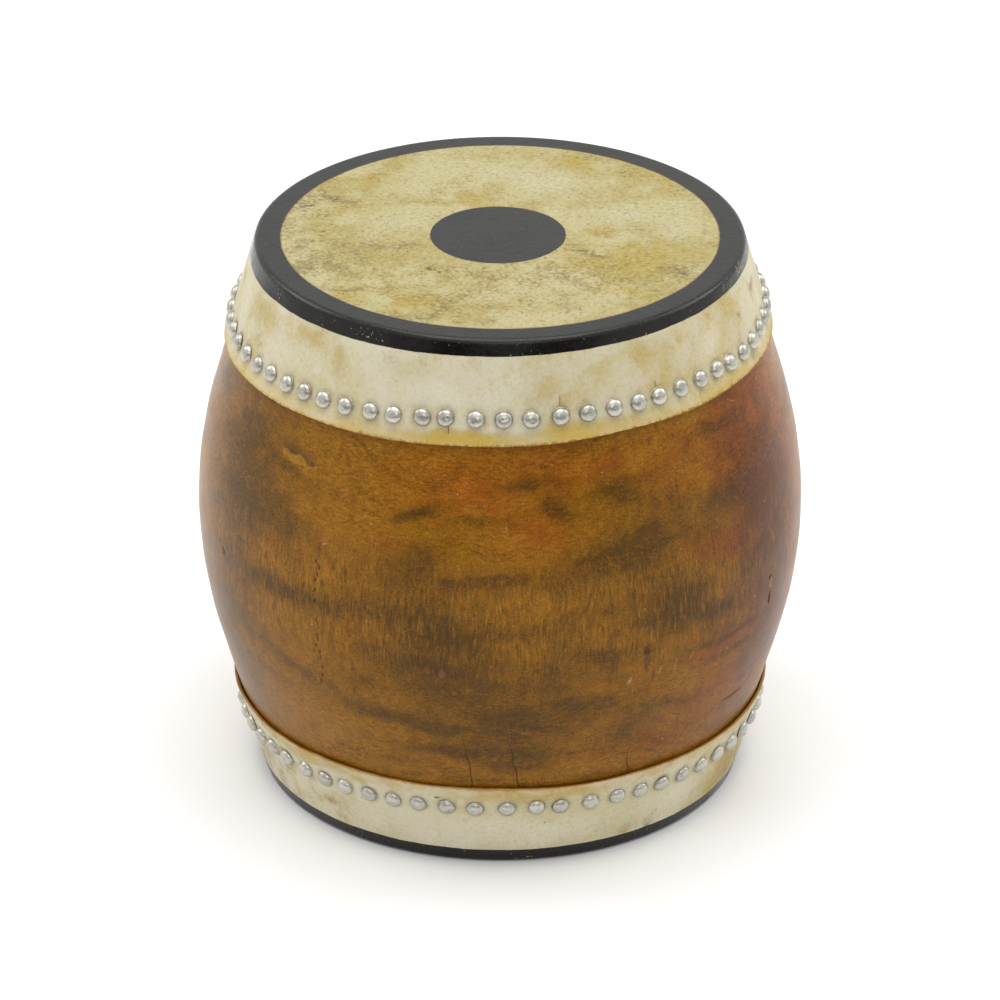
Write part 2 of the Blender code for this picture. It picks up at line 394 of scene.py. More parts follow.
def healed_knot(angles, rises):
    """The healed knots: how far they stand out at each point, and their reddish rim."""
    swell = np.zeros_like(rises)
    rim = np.zeros_like(rises)
    for degrees, rise, half_width, half_height, height in HEALED_KNOTS:
        across = angle_gap(angles, math.radians(degrees)) * BELLY_RADIUS / (half_width * MM)
        along = (rises - rise * MM) / (half_height * MM)
        reach = np.hypot(across, along) / (1.0 + 0.12 * np.sin(3.0 * np.arctan2(along, across) + rise))
        swell = np.maximum(swell, height * MM * (1.0 - smoothstep(reach, 0.2, 1.0)))
        rim = np.maximum(rim, smoothstep(reach, 0.35, 0.7) * (1.0 - smoothstep(reach, 0.75, 1.15)))
        rim = np.maximum(rim, 0.35 * (1.0 - smoothstep(reach, 0.6, 0.9)))
    return swell, rim


def scar_shape(angles, rises):
    """The torn patch: how far it sinks at each point, its pale lip, and its undercut, where the wood's colour
    gets painted shade.
    """
    across = angle_gap(angles, math.radians(SCAR_ANGLE)) * BELLY_RADIUS
    share = across / SCAR_HALF_LENGTH
    taper = np.sqrt(np.clip(1.0 - np.abs(share) ** 4, 0.0, 1.0))
    ragged = np.sin(across * 420.0) + 0.5 * np.sin(across * 1130.0 + 2.0) + 0.3 * np.sin(across * 2300.0)
    lip = SCAR_RISE - SCAR_HALF_HEIGHT * (0.90 + 0.10 * share) + 0.30 * MM * ragged
    lip += SCAR_HALF_HEIGHT * (0.9 - 0.9 * taper)
    upper = lip + SCAR_HALF_HEIGHT * taper * (2.1 - 0.15 * share)
    crest = lip + SCAR_HALF_HEIGHT * taper * (0.95 - 0.40 * share + 0.30 * np.cos(across * 330.0))
    crest += 0.25 * MM * ragged
    inside = smoothstep(upper - rises, 0.0, 4.4 * MM) * smoothstep(rises - lip, 0.0, 0.9 * MM)
    inside *= (np.abs(share) < 1.0)
    shaded_undercut = inside * smoothstep(rises - crest, -0.8 * MM, 1.0 * MM)
    floor = inside - shaded_undercut
    return 0.5 * MM * inside * (0.40 + 0.60 * shaded_undercut), floor, shaded_undercut


# The figure of the wood, as soft patches: degrees round the drum, rise, half length, half height
# (millimetres), tilt in degrees and strength. First the dark patches.
DARK_PATCHES = (
    # This patch darkens the whole lower front broadly.
    (0, -38, 190, 66, 0, 0.40),
    (0, 12, 150, 34, 0, 0.20),
    (32, 58, 64, 30, 0, 0.60),
    (-6, -46, 90, 26, 0, 0.30),
    (40, -96, 60, 22, 0, 0.25),
    (-58, 84, 52, 36, 0, 0.68),
    (-66, -60, 30, 40, 0, 0.50),
    (20, 96, 50, 28, 0, 0.32),
    (65, 0, 30, 30, 0, 0.30),
    (-58, 40, 36, 18, 0, 0.20),
    (61, 84, 40, 40, 0, 0.40),
    (64, 38, 34, 26, 0, 0.55),
    (0, -68, 46, 22, 0, 0.30),
    (12, -100, 50, 18, 0, 0.30),
    (66, -60, 30, 40, 0, 0.40),
    # Painted shadow below the lip of the torn patch.
    (-45, 80, 15, 3, -12, 0.60),
    # These two tall patches darken the wood broadly at both sides.
    (62, 0, 46, 130, 0, 0.70),
    (-64, 0, 44, 130, 0, 0.45),
    (-60, 52, 30, 14, 0, 0.45),
    (-46, 49, 22, 12, -10, 0.60),
    (-43, 4, 62, 6, 2, 0.75),
    # Painted shadow along the upper edge of the torn patch.
    (-45, 94, 18, 3, -8, 0.50),
    (-17.6, 71, 19, 3.6, 14, 1.25),
    (-5, 71, 16, 4, 5, 0.85),
    (-17, 45, 16, 14, 35, 0.90),
    (-5, 36, 20, 3.2, 0, 0.60),
    (-13.5, 2, 20, 17, -20, 0.85),
    (-5, -9, 18, 8, 0, 0.60),
    (-13, -28, 36, 7, -8, 0.85),
    (-11.6, -44, 13, 4.5, 0, 0.70),
    (-25.5, -42, 5, 3, 0, 0.55),
    (-30, -29, 5, 2, 0, 0.45),
    (-18, -69, 36, 4.5, -4, 0.75),
    (-9, -88, 30, 6, 3, 0.85),
    (-24, -102, 18, 2.8, 2, 0.60),
    (-12, -113, 40, 2.6, 0, 0.60),
    (-45, -49, 24, 4, -5, 0.40),
    (-48, -65, 28, 4, -6, 0.40),
    (3.7, 94, 18, 6, -3, 1.15),
    (11.8, 75, 13, 5, -12, 1.05),
    (24, 85, 11, 7, -20, 0.90),
    (15, 111, 18, 2.4, 0, 0.55),
    (51, 102, 24, 4.5, -4, 0.70),
    (22, 48, 30, 11, 5, 0.62),
    (29, 58, 10, 3.4, 5, 0.55),
    (29, 45, 28, 2, 3, 0.60),
    (26, 36, 12, 8, 0, 0.55),
    (48, 60, 34, 8, -4, 0.60),
    (1.5, 33, 12, 4, 0, 0.60),
    (34, 1, 25, 13, -4, 1.10),
    (46, -9, 19, 5, 0, 0.85),
    (6, 0, 16, 4, 0, 0.40),
    (18.6, -19, 12, 4, -5, 0.70),
    (8.8, -25, 6, 4, 0, 0.60),
    (15, -54, 26, 8, -4, 0.60),
    (3.7, -65, 16, 8, -8, 1.00),
    (6.5, -88, 16, 4.6, -3, 0.80),
    (3.5, -98, 18, 5, 0, 0.60),
    (24.6, -80, 18, 7, 0, 0.60),
    (49, -34, 34, 2, -1, 0.75),
    (51, -47, 26, 3, -1, 0.65),
    (59, 10, 20, 7, 0, 0.60),
    (32, -67, 30, 5, -4, 0.45),
    (20, -115, 34, 3, 0, 0.45),
)
# Then the golden ones, and last the orange and red ones.
GOLD_PATCHES = (
    (0, 88, 150, 34, 0, 0.35),
    (-38, 18, 50, 9, 0, 0.50),
    (-39, -25, 46, 15, -3, 0.70),
    (-19, -50, 14, 8, 0, 0.60),
    (-41, -85, 46, 13, -6, 0.60),
    (7, 17, 34, 12, 4, 0.80),
    (4, -12, 26, 6, 0, 0.50),
    (28, -12, 18, 6, -20, 0.70),
    (-4, -78, 10, 4, 0, 0.30),
    (19, -42, 14, 5, 0, 0.60),
    (10, -62, 8, 7, 0, 0.60),
    (14, -100, 30, 8, 0, 0.50),
    (-28, 60, 40, 16, 12, 0.40),
    (22, 99, 34, 8, 0, 0.50),
    (6, 55, 30, 12, 8, 0.40),
)
WARM_PATCHES = (
    (-18, -20, 130, 62, 0, -0.45),
    (-62, 0, 60, 110, 0, -0.55),
    (-7, 90, 34, 18, 0, 0.80),
    (-23, 56, 10, 9, 20, 0.55),
    (-26, 96, 40, 14, 5, 0.45),
    (10, 104, 34, 12, 0, 0.95),
    (8, 62, 26, 14, 10, 0.80),
    (49, 31, 38, 9, -3, 0.95),
    (51, -39, 40, 6, -1, 0.95),
    (40, 80, 46, 22, 0, 0.45),
    (63, 80, 36, 60, 0, 1.60),
    (-58, 84, 50, 40, 0, -0.40),
    (66, 0, 50, 110, 0, 0.90),
    (52, -70, 50, 26, 0, 0.60),
    (32, -95, 50, 20, 0, 0.40),
    (-10.8, -29, 4, 5, 0, 0.90),
    (-62, -30, 26, 40, 0, 0.30),
)


def unseen_patches(seed, count, strength, low=-112.0, high=112.0, size=1.0):
    """More patches of the same kind for the back of the drum, between two heights in mm."""
    draw = np.random.default_rng(seed)
    return [
        (
            draw.uniform(78.0, 282.0),
            draw.uniform(low, high),
            draw.uniform(10.0, 42.0) * size,
            draw.uniform(3.0, 12.0) * size,
            draw.normal(0.0, 7.0),
            draw.uniform(0.5, 1.2) * strength,
        )
        for _ in range(count)
    ]


def soft_patch(across, up, half_length, half_height, tilt):
    """One soft oval, 1 in its middle, for distances in metres and sizes in millimetres."""
    lean = math.radians(tilt)
    major = (across * math.cos(lean) + up * math.sin(lean)) / (half_length * MM)
    minor = (up * math.cos(lean) - across * math.sin(lean)) / (half_height * MM)
    return np.exp(-0.9 * (major ** 2 + minor ** 2))


def laid_on(angles, rises, patches, radius=BELLY_RADIUS):
    """The summed strength of soft patches at each point of the side."""
    total = np.zeros_like(rises)
    for degrees, rise, half_length, half_height, tilt, strength in patches:
        across = angle_gap(angles, math.radians(degrees)) * radius
        up = rises - rise * MM
        total += strength * soft_patch(across, up, half_length, half_height, tilt)
    return total


def laid_flat(points, patches):
    """The summed strength of soft patches at each point of a flat skin."""
    total = np.zeros(len(points))
    for x, y, half_length, half_height, tilt, strength in patches:
        across = points[:, 0] - x * MM
        up = points[:, 1] - y * MM
        total += strength * soft_patch(across, up, half_length, half_height, tilt)
    return total


def warped(points, angles, rises, seed):
    """Angles and rises shifted by soft noise, so that patches laid with them look torn."""
    shift = Vector((seed, 2.0 * seed, 3.0 * seed))
    coarse = np.array([noise.noise_vector(Vector(point) * 28.0 + shift)[:] for point in points])
    fine = np.array([noise.noise_vector(Vector(point) * 95.0 + shift)[:] for point in points])
    across = (9.0 * coarse[:, 0] + 3.5 * fine[:, 0]) * MM
    up = (4.5 * coarse[:, 2] + 2.0 * fine[:, 2]) * MM
    return angles + across / BELLY_RADIUS, rises + up


def wood_swell(angles, rises):
    """The slow unevenness that turning and sanding by hand leave in the surface."""
    slow = 0.30 * MM * np.sin(2 * angles + 0.6) * np.cos(rises * 14.0)
    slow += 0.16 * MM * np.sin(5 * angles + rises * 30.0 + 1.0)
    slow += 0.09 * MM * np.sin(11 * angles - rises * 55.0)
    return slow + 0.07 * MM * np.sin(rises * 190.0 + 1.5 * np.sin(3 * angles))


def shell_profile():
    """The closed (radius, height) outline of the shell, from the lower edge up and back inside."""
    end = MIDDLE - HIDE - GAP
    edge = shoulder_arc(end, 0.0, SHOULDER - HIDE - GAP, 3)
    edge_rise = edge[-1][1]
    bottom_edge = MIDDLE - BOTTOM_SKIRT_EDGE + 3 * MM
    top_edge = MIDDLE - TOP_SKIRT_DEPTH - TOP_SLANT - 3 * MM
    rises = spaced(-edge_rise, -bottom_edge, 9 * MM)[1:]
    rises += spaced(-bottom_edge, top_edge, WOOD_RING_STEP)[1:]
    rises += spaced(top_edge, edge_rise, 9 * MM)[1:-1]
    outside = [(radius, -rise) for radius, rise in edge] + [(float(wood_radius(r)), r) for r in rises]
    outside += edge[::-1]
    inside = []
    for rise in spaced(end, -end, 18 * MM):
        wall = BELLY_WALL + (EDGE_WALL - BELLY_WALL) * abs(rise) / end
        inside.append((float(wood_radius(rise)) - wall, rise))
    return [(radius, MIDDLE + rise) for radius, rise in outside + inside], len(outside)


def near_defect(angles, rises):
    """True where the wood needs a finer mesh to hold a crack, a knot, a pit or the scar."""
    marks = (crack_depth(angles, rises) > 0) | (knot_depth(angles, rises) > 0.02 * MM)
    marks |= healed_knot(angles, rises)[0] > 0
    across = np.abs(angle_gap(angles, math.radians(SCAR_ANGLE))) * BELLY_RADIUS
    return marks | ((across < SCAR_HALF_LENGTH) & (np.abs(rises - SCAR_RISE) < 1.6 * SCAR_HALF_HEIGHT))


def refine_defects(item, cuts):
    """Divide the outer faces that a defect touches, so that it can be cut into them."""
    body = bmesh.new()
    body.from_mesh(item.data)
    step_angle = 0.5 * math.tau / SEGMENTS
    centres = np.array([face.calc_center_median()[:] for face in body.faces])
    angles = np.arctan2(centres[:, 0], -centres[:, 1])
    rises = centres[:, 2] - MIDDLE
    outer = np.hypot(centres[:, 0], centres[:, 1]) > wood_radius(rises) - 2 * MM
    hit = np.zeros(len(centres), bool)
    for turn in np.linspace(-1.3, 1.3, 7):
        for lift in np.linspace(-0.6, 0.6, 3):
            hit |= near_defect(angles + turn * step_angle, rises + lift * WOOD_RING_STEP)
    body.faces.ensure_lookup_table()
    chosen = [body.faces[int(index)] for index in np.nonzero(hit & outer)[0]]
    edges = {edge for face in chosen for edge in face.edges}
    bmesh.ops.subdivide_edges(body, edges=list(edges), cuts=cuts, use_grid_fill=True)
    body.to_mesh(item.data)
    body.free()


def build_shell(material):
    """The log shell, with its cracks, knots and torn patch cut into the surface."""
    profile, outer_rings = shell_profile()
    rings = turned_points(profile)
    item = make_object("shell_wood", rings.reshape(-1, 3), ring_faces(len(profile), wrap=True))
    refine_defects(item, 5)
    points = vertex_array(item)
    angles = np.arctan2(points[:, 0], -points[:, 1])
    rises = points[:, 2] - MIDDLE
    radii = np.hypot(points[:, 0], points[:, 1])
    outer = radii > wood_radius(rises) - 1.0 * MM
    cracks = crack_depth(angles, rises)
    knots = knot_depth(angles, rises)
    swell, rim = healed_knot(angles, rises)
    scar, scar_floor, scar_undercut_shade = scar_shape(angles, rises)
    bare = smoothstep(MIDDLE - np.abs(rises), 45 * MM, 66 * MM)
    change = outer * (wood_swell(angles, rises) * bare + swell - cracks - knots - scar)
    # Fine new points between two rings lie on a chord, so they are set back on the outline.
    target = np.where(outer & (np.abs(rises) < MIDDLE - 8 * MM), wood_radius(rises), radii) + change
    points[:, 0] = target * np.sin(angles)
    points[:, 1] = -target * np.cos(angles)
    item.data.vertices.foreach_set("co", points.ravel())
    item.data.update()
    set_attribute(item, "crack", np.clip(cracks / (0.6 * MM), 0.0, 1.0) * outer)
    set_attribute(item, "knot", np.clip(knots / (0.7 * MM), 0.0, 1.0) * outer)
    set_attribute(item, "healed", np.clip(swell / (0.25 * MM), 0.0, 1.0) * outer)
    set_attribute(item, "rim", rim * outer)
    set_attribute(item, "scar", scar_floor * outer)
    set_attribute(item, "shaded_undercut", scar_undercut_shade * outer)
    figure = warped(points, angles, rises, 3)
    set_attribute(item, "shade", laid_on(*figure, list(DARK_PATCHES) + unseen_patches(91, 50, 0.8)))
    set_attribute(item, "gold", laid_on(*figure, list(GOLD_PATCHES) + unseen_patches(92, 18, 0.7)))
    set_attribute(item, "warm", laid_on(*figure, list(WARM_PATCHES) + unseen_patches(93, 18, 0.8)))
    item.data.materials.append(material)
    return item


# ---------------------------------------------------------------------------------------------
# Rawhide heads
# ---------------------------------------------------------------------------------------------


# Stains of the playing skin: x, y (back positive), half length, half width, tilt, strength.
SKIN_OCHRE = (
    (44, 109, 24, 12, -10, 0.9),
    (-20, 112, 9, 9, 0, 0.6),
    (-22, 50, 32, 12, 4, 0.6),
    (-4, 42, 17, 3.6, 0, 0.8),
    (-89, 41, 10, 10, -50, 0.6),
    (-83, 80, 10, 13, 0, 0.7),
    (-53, -101, 14, 10, 20, 1.0),
    (-88, -86, 12, 7, 20, 0.8),
    (85, -19, 42, 13, -12, 0.7),
    (80, -48, 42, 15, -10, 0.9),
    (77, -82, 18, 8, -35, 0.9),
    (58, 6, 12, 8, 0, 0.5),
    (97, 76, 20, 24, 0, 0.5),
    (-72, -20, 14, 10, 10, 0.4),
    (-10, -70, 70, 30, 0, 0.55),
    (-30, -100, 40, 16, 0, 0.25),
    (-40, 90, 30, 20, 30, 0.25),
)
SKIN_PALE = (
    (31, 78, 24, 16, 0, 0.9),
    (0, 97, 14, 14, 0, 0.7),
    (75, 28, 22, 13, 0, 0.8),
    (-62, 22, 24, 16, 0, 0.7),
    (19, -76, 42, 20, -30, 0.5),
    (-78, -4, 12, 12, 0, 0.5),
    (-15, -88, 26, 14, 0, 0.6),
    (112, 8, 12, 22, 0, 0.6),
    (40, -115, 18, 8, 10, 0.6),
)
SKIN_GRIME = (
    (-122, 47, 12, 22, 0, 0.75),
    (-127, -6, 9, 26, 0, 0.65),
    (-119, -44, 14, 18, 0, 0.60),
    (-6, -58, 50, 14, 0, 0.35),
    (-97, -44, 26, 16, 0, 0.45),
    (-10, -92, 84, 34, 0, 0.30),
    (62, -64, 34, 14, -24, 0.35),
    (-92, -16, 20, 12, 0, 0.4),
    (-38, -112, 4, 18, -38, 0.70),
    (-60, -120, 20, 5, -20, 0.5),
    (38, -60, 34, 2.4, -36, 0.35),
    (62, -82, 26, 2.2, -38, 0.40),
    (24, -92, 22, 2.2, -40, 0.30),
    (110, -53, 15, 12, 0, 1.0),
    (52, -28, 14, 4, -32, 1.0),
    (63, -47, 13, 3, 0, 0.5),
    (-103, 53, 15, 4, -55, 0.8),
    (-90, 47, 8, 4, -30, 0.7),
    (-94, -77, 24, 1.8, 2, 0.9),
    (-61, -17, 9, 3, 25, 0.9),
    (-72, -19, 3, 3, 0, 0.6),
    (-31, -13, 10, 5, 0, 0.5),
    (62, 115, 18, 4, -15, 0.6),
    (-40, 70, 26, 10, 20, 0.35),
)
SKIN_MARKS = (
    (-39, -52, 2.4, 3.4, 0, 1.3),
    (-35, -57, 1.6, 2.6, 20, 1.1),
    (-24.5, -49, 1.7, 1.7, 0, 1.1),
    (-120, 42, 4.0, 1.6, 10, 1.1),
    (-124, 48, 2.6, 1.6, 0, 0.9),
    (-131, 23, 2.4, 1.6, 0, 1.1),
    (-110, 5, 1.6, 1.6, 0, 0.9),
    (-99, 51, 1.6, 5.0, -40, 0.8),
    (125, 1, 1.6, 1.6, 0, 0.9),
    (108, -50, 3.0, 1.6, 0, 0.9),
    (111, -57, 3.0, 1.6, 0, 0.9),
    (50, -25, 4.0, 1.4, -30, 0.9),
    (58, -31, 2.4, 1.5, 0, 0.9),
    (31, -36, 1.5, 1.5, 0, 1.0),
    (-58, -12, 1.7, 1.7, 0, 0.8),
    (-92, 12, 1.3, 1.3, 0, 0.8),
)
# Stains of the two skirts: degrees, height (mm), half length, half height, tilt, strength.
SKIRT_OCHRE = (
    (50, 326, 64, 32, 0, 0.46),
    (16, 326, 44, 32, 0, 0.34),
    (62, 332, 30, 26, 0, 0.25),
    (-66, 328, 40, 30, 0, 0.25),
    (-3, 300, 30, 3.5, 0, 0.80),
    (30, 300, 34, 4, 0, 0.35),
    (58, 300, 40, 4, 0, 0.30),
    (-50, 300, 56, 4, 0, 0.40),
    (64, 28, 44, 30, 0, 0.40),
    (-50, 55, 60, 4, 0, 0.80),
    (10, 55, 80, 4, 0, 0.70),
    (-48, 340, 10, 6, 0, 0.7),
    (-38, 335, 7, 7, 0, 0.6),
    (-37, 325, 6, 5, 0, 0.5),
    (-67, 338, 14, 8, 0, 0.5),
    (-22, 334, 20, 8, 0, 0.4),
    (-10, 301, 26, 4, 4, 1.1),
    (9.5, 326, 9, 9, -10, 0.45),
    (15, 302, 16, 4, 0, 1.0),
    (32, 341, 8, 10, 0, 0.45),
    (38, 333, 10, 20, 0, 0.30),
    (61, 346, 10, 6, -20, 0.9),
    (-46, 51, 12, 2, 0, 0.6),
    (-31, 52, 4, 2, 0, 0.7),
    (30, 12, 3, 3, 0, 0.8),
    (60, 20, 22, 12, 10, 1.2),
    (-42, 25, 10, 6, 0, 0.6),
)
SKIRT_PALE = (
    (53, 330, 14, 10, 20, 0.9),
    (-55, 322, 30, 8, 0, 0.5),
    (-12, 325, 26, 8, 0, 0.6),
    (22, 322, 12, 8, 0, 0.3),
    (45, 30, 24, 10, 0, 0.5),
    (-30, 40, 40, 6, 0, 0.3),
    (4, 22, 74, 16, 0, 0.60),
)
SKIRT_GRIME = (
    (66, 326, 34, 30, 0, 0.20),
    (42, 326, 44, 28, 0, 0.10),
    (50, 302, 60, 5, 0, 0.30),
    (-66, 28, 44, 30, 0, 0.80),
    (66, 28, 46, 30, 0, 0.60),
    (-67, 326, 8, 7, 0, 0.6),
    (-26, 340, 6, 5, 0, 0.9),
    (66.4, 332, 3, 2, 0, 1.2),
    (68.5, 303, 8, 4, 0, 1.1),
    (60, 345, 8, 3, -30, 0.6),
    (-42, 24, 8, 5, 0, 0.7),
    (-40, 14, 4, 2, 0, 0.5),
    (30, 16, 14, 7, 0, 0.5),
    (36.6, 12, 4, 5, 0, 0.7),
    (62, 22, 8, 6, 0, 0.6),
)
SKIRT_MARKS = (
    (-13.2, 51, 2.2, 2.0, 0, 0.9),
    (9.7, 31, 7.0, 0.8, 47, 0.8),
    (-65.7, 322, 3.0, 1.2, 40, 0.6),
    (-12.5, 12, 4.0, 1.6, 0, 0.5),
    (66.4, 332, 2.0, 1.4, 0, 0.8),
)
# Short splits in the upper skirt, above or below a tack: degrees, height, half width, half
# height (mm) and lean.
HIDE_SPLITS = (
    (12.8, 321.0, 0.45, 3.6, 0.05),
    (-10.7, 304.6, 0.45, 3.0, -0.05),
    (35.2, 320.0, 0.40, 2.4, 0.0),
    (-52.0, 305.0, 0.40, 2.4, 0.1),
    (96.0, 321.0, 0.45, 3.0, 0.0),
    (171.0, 304.0, 0.45, 2.8, 0.1),
    (-128.0, 321.0, 0.45, 3.2, 0.0),
)
CONE_TOP_RADIUS = 165 * MM
# Where the paint on the rim is chipped: degrees, half width in degrees and how badly.
CHIPPED = ((72, 14, 0.9), (88, 8, 0.7), (5, 4, 0.7), (-30, 5, 0.5), (-62, 5, 0.9), (178, 10, 0.8))
CHIPPED += ((140, 12, 0.6), (38, 10, 0.3), (-40, 12, 0.3), (-110, 9, 0.5))


def stain_attributes(item, points, angles, below, side, seed):
    """Lay the stains that the hide's material reads: ochre, pale, grime and dark marks."""
    turn, height = warped(points, angles, points[:, 2], seed)
    torn = points.copy()
    torn[:, 0] += (turn - angles) * BELLY_RADIUS
    torn[:, 1] += height - points[:, 2]
    on_flat = below < 1.5 * MM
    flats = (SKIN_OCHRE, SKIN_PALE, SKIN_GRIME, SKIN_MARKS)
    skirts = (SKIRT_OCHRE, SKIRT_PALE, SKIRT_GRIME, SKIRT_MARKS)
    low, high = (298.0, 346.0) if side > 0 else (10.0, 58.0)
    for number, name in enumerate(("ochre", "pale", "grime", "mark")):
        size = (0.6, 0.7, 0.4, 0.12)[number]
        flat = laid_flat(torn, flats[number] if side > 0 else underside_stains(seed + number, size))
        unseen = unseen_patches(seed + 10 + number, 12, 0.8, low, high, size)
        skirt = laid_on(turn, height, list(skirts[number]) + unseen, 0.86 * BELLY_RADIUS)
        set_attribute(item, name, np.where(on_flat, flat, skirt))


def underside_stains(seed, size):
    """Stains for the lower skin, which the photo does not show."""
    draw = np.random.default_rng(seed)
    return [
        (
            draw.uniform(-110.0, 110.0),
            draw.uniform(-110.0, 110.0),
            draw.uniform(10.0, 40.0) * size,
            draw.uniform(8.0, 24.0) * size,
            draw.uniform(-60.0, 60.0),
            draw.uniform(0.4, 1.0),
        )
        for _ in range(16)
    ]


def hide_profile(row_depth, skirt_depth, most_lift):
    """The (radius, height) outline of a head seen as the upper one, and each point's layer.

    It runs from the middle out over the shoulder, down the skirt, round the cut edge and back
    up the inside.
    """
    offset = HIDE + GAP
    lift_rise = MIDDLE - row_depth - LIFT_STARTS_PAST_TACKS
    edge_rise = MIDDLE - skirt_depth
    outer_arc = shoulder_arc(MIDDLE, offset, SHOULDER, 7)
    inner_arc = shoulder_arc(MIDDLE - HIDE, GAP, SHOULDER - HIDE, 3)
    flat = spaced(1.5 * MM, outer_arc[0][0], SKIN_RING_STEP)[:-1]
    outside = [(radius, MIDDLE) for radius in flat] + outer_arc
    for rise in spaced(outer_arc[-1][1], edge_rise + 0.35 * MM, SKIRT_RING_STEP)[1:]:
        lift = most_lift * float(smoothstep(lift_rise - rise, 0.0, lift_rise - edge_rise))
        outside.append((float(cone_radius(rise, offset)) + lift, rise))
    edge = [
        (float(cone_radius(edge_rise, offset - 0.35 * MM)) + most_lift, edge_rise),
        (float(cone_radius(edge_rise, GAP + 0.5 * HIDE)) + most_lift, edge_rise - 0.05 * MM),
        (float(cone_radius(edge_rise, GAP + 0.25 * MM)) + most_lift, edge_rise),
    ]
    inside = []
    for rise in spaced(edge_rise + 0.3 * MM, inner_arc[-1][1], 8 * MM):
        lift = most_lift * float(smoothstep(lift_rise - rise, 0.0, lift_rise - edge_rise))
        inside.append((float(cone_radius(rise, GAP)) + lift, rise))
    inside += inner_arc[-2::-1]
    inside += [(radius, MIDDLE - HIDE) for radius in spaced(inner_arc[0][0], 20 * MM, 25 * MM)[1:]]
    layers = [0] * len(outside) + [1] * len(edge) + [2] * len(inside)
    return [(radius, MIDDLE + rise) for radius, rise in outside + edge + inside], layers


def trimmed_edge(angles, seed):
    """How far the knife wandered along a skirt's edge, up or down."""
    wobble = 0.42 * MM * wander(angles, seed, 7, 14)
    return wobble + 0.13 * MM * wander(angles, seed + 1, 12, 90)


def pleats(angles, seed):
    """Soft folds where the hide was gathered over the rim, from 0 to 1 round the drum."""
    draw = np.random.default_rng(seed)
    total = np.zeros_like(angles)
    for _ in range(58):
        centre = draw.uniform(-math.pi, math.pi)
        width = math.radians(draw.uniform(0.9, 2.6))
        total += draw.uniform(-0.6, 1.0) * np.exp(-(angle_gap(angles, centre) / width) ** 2)
    return total


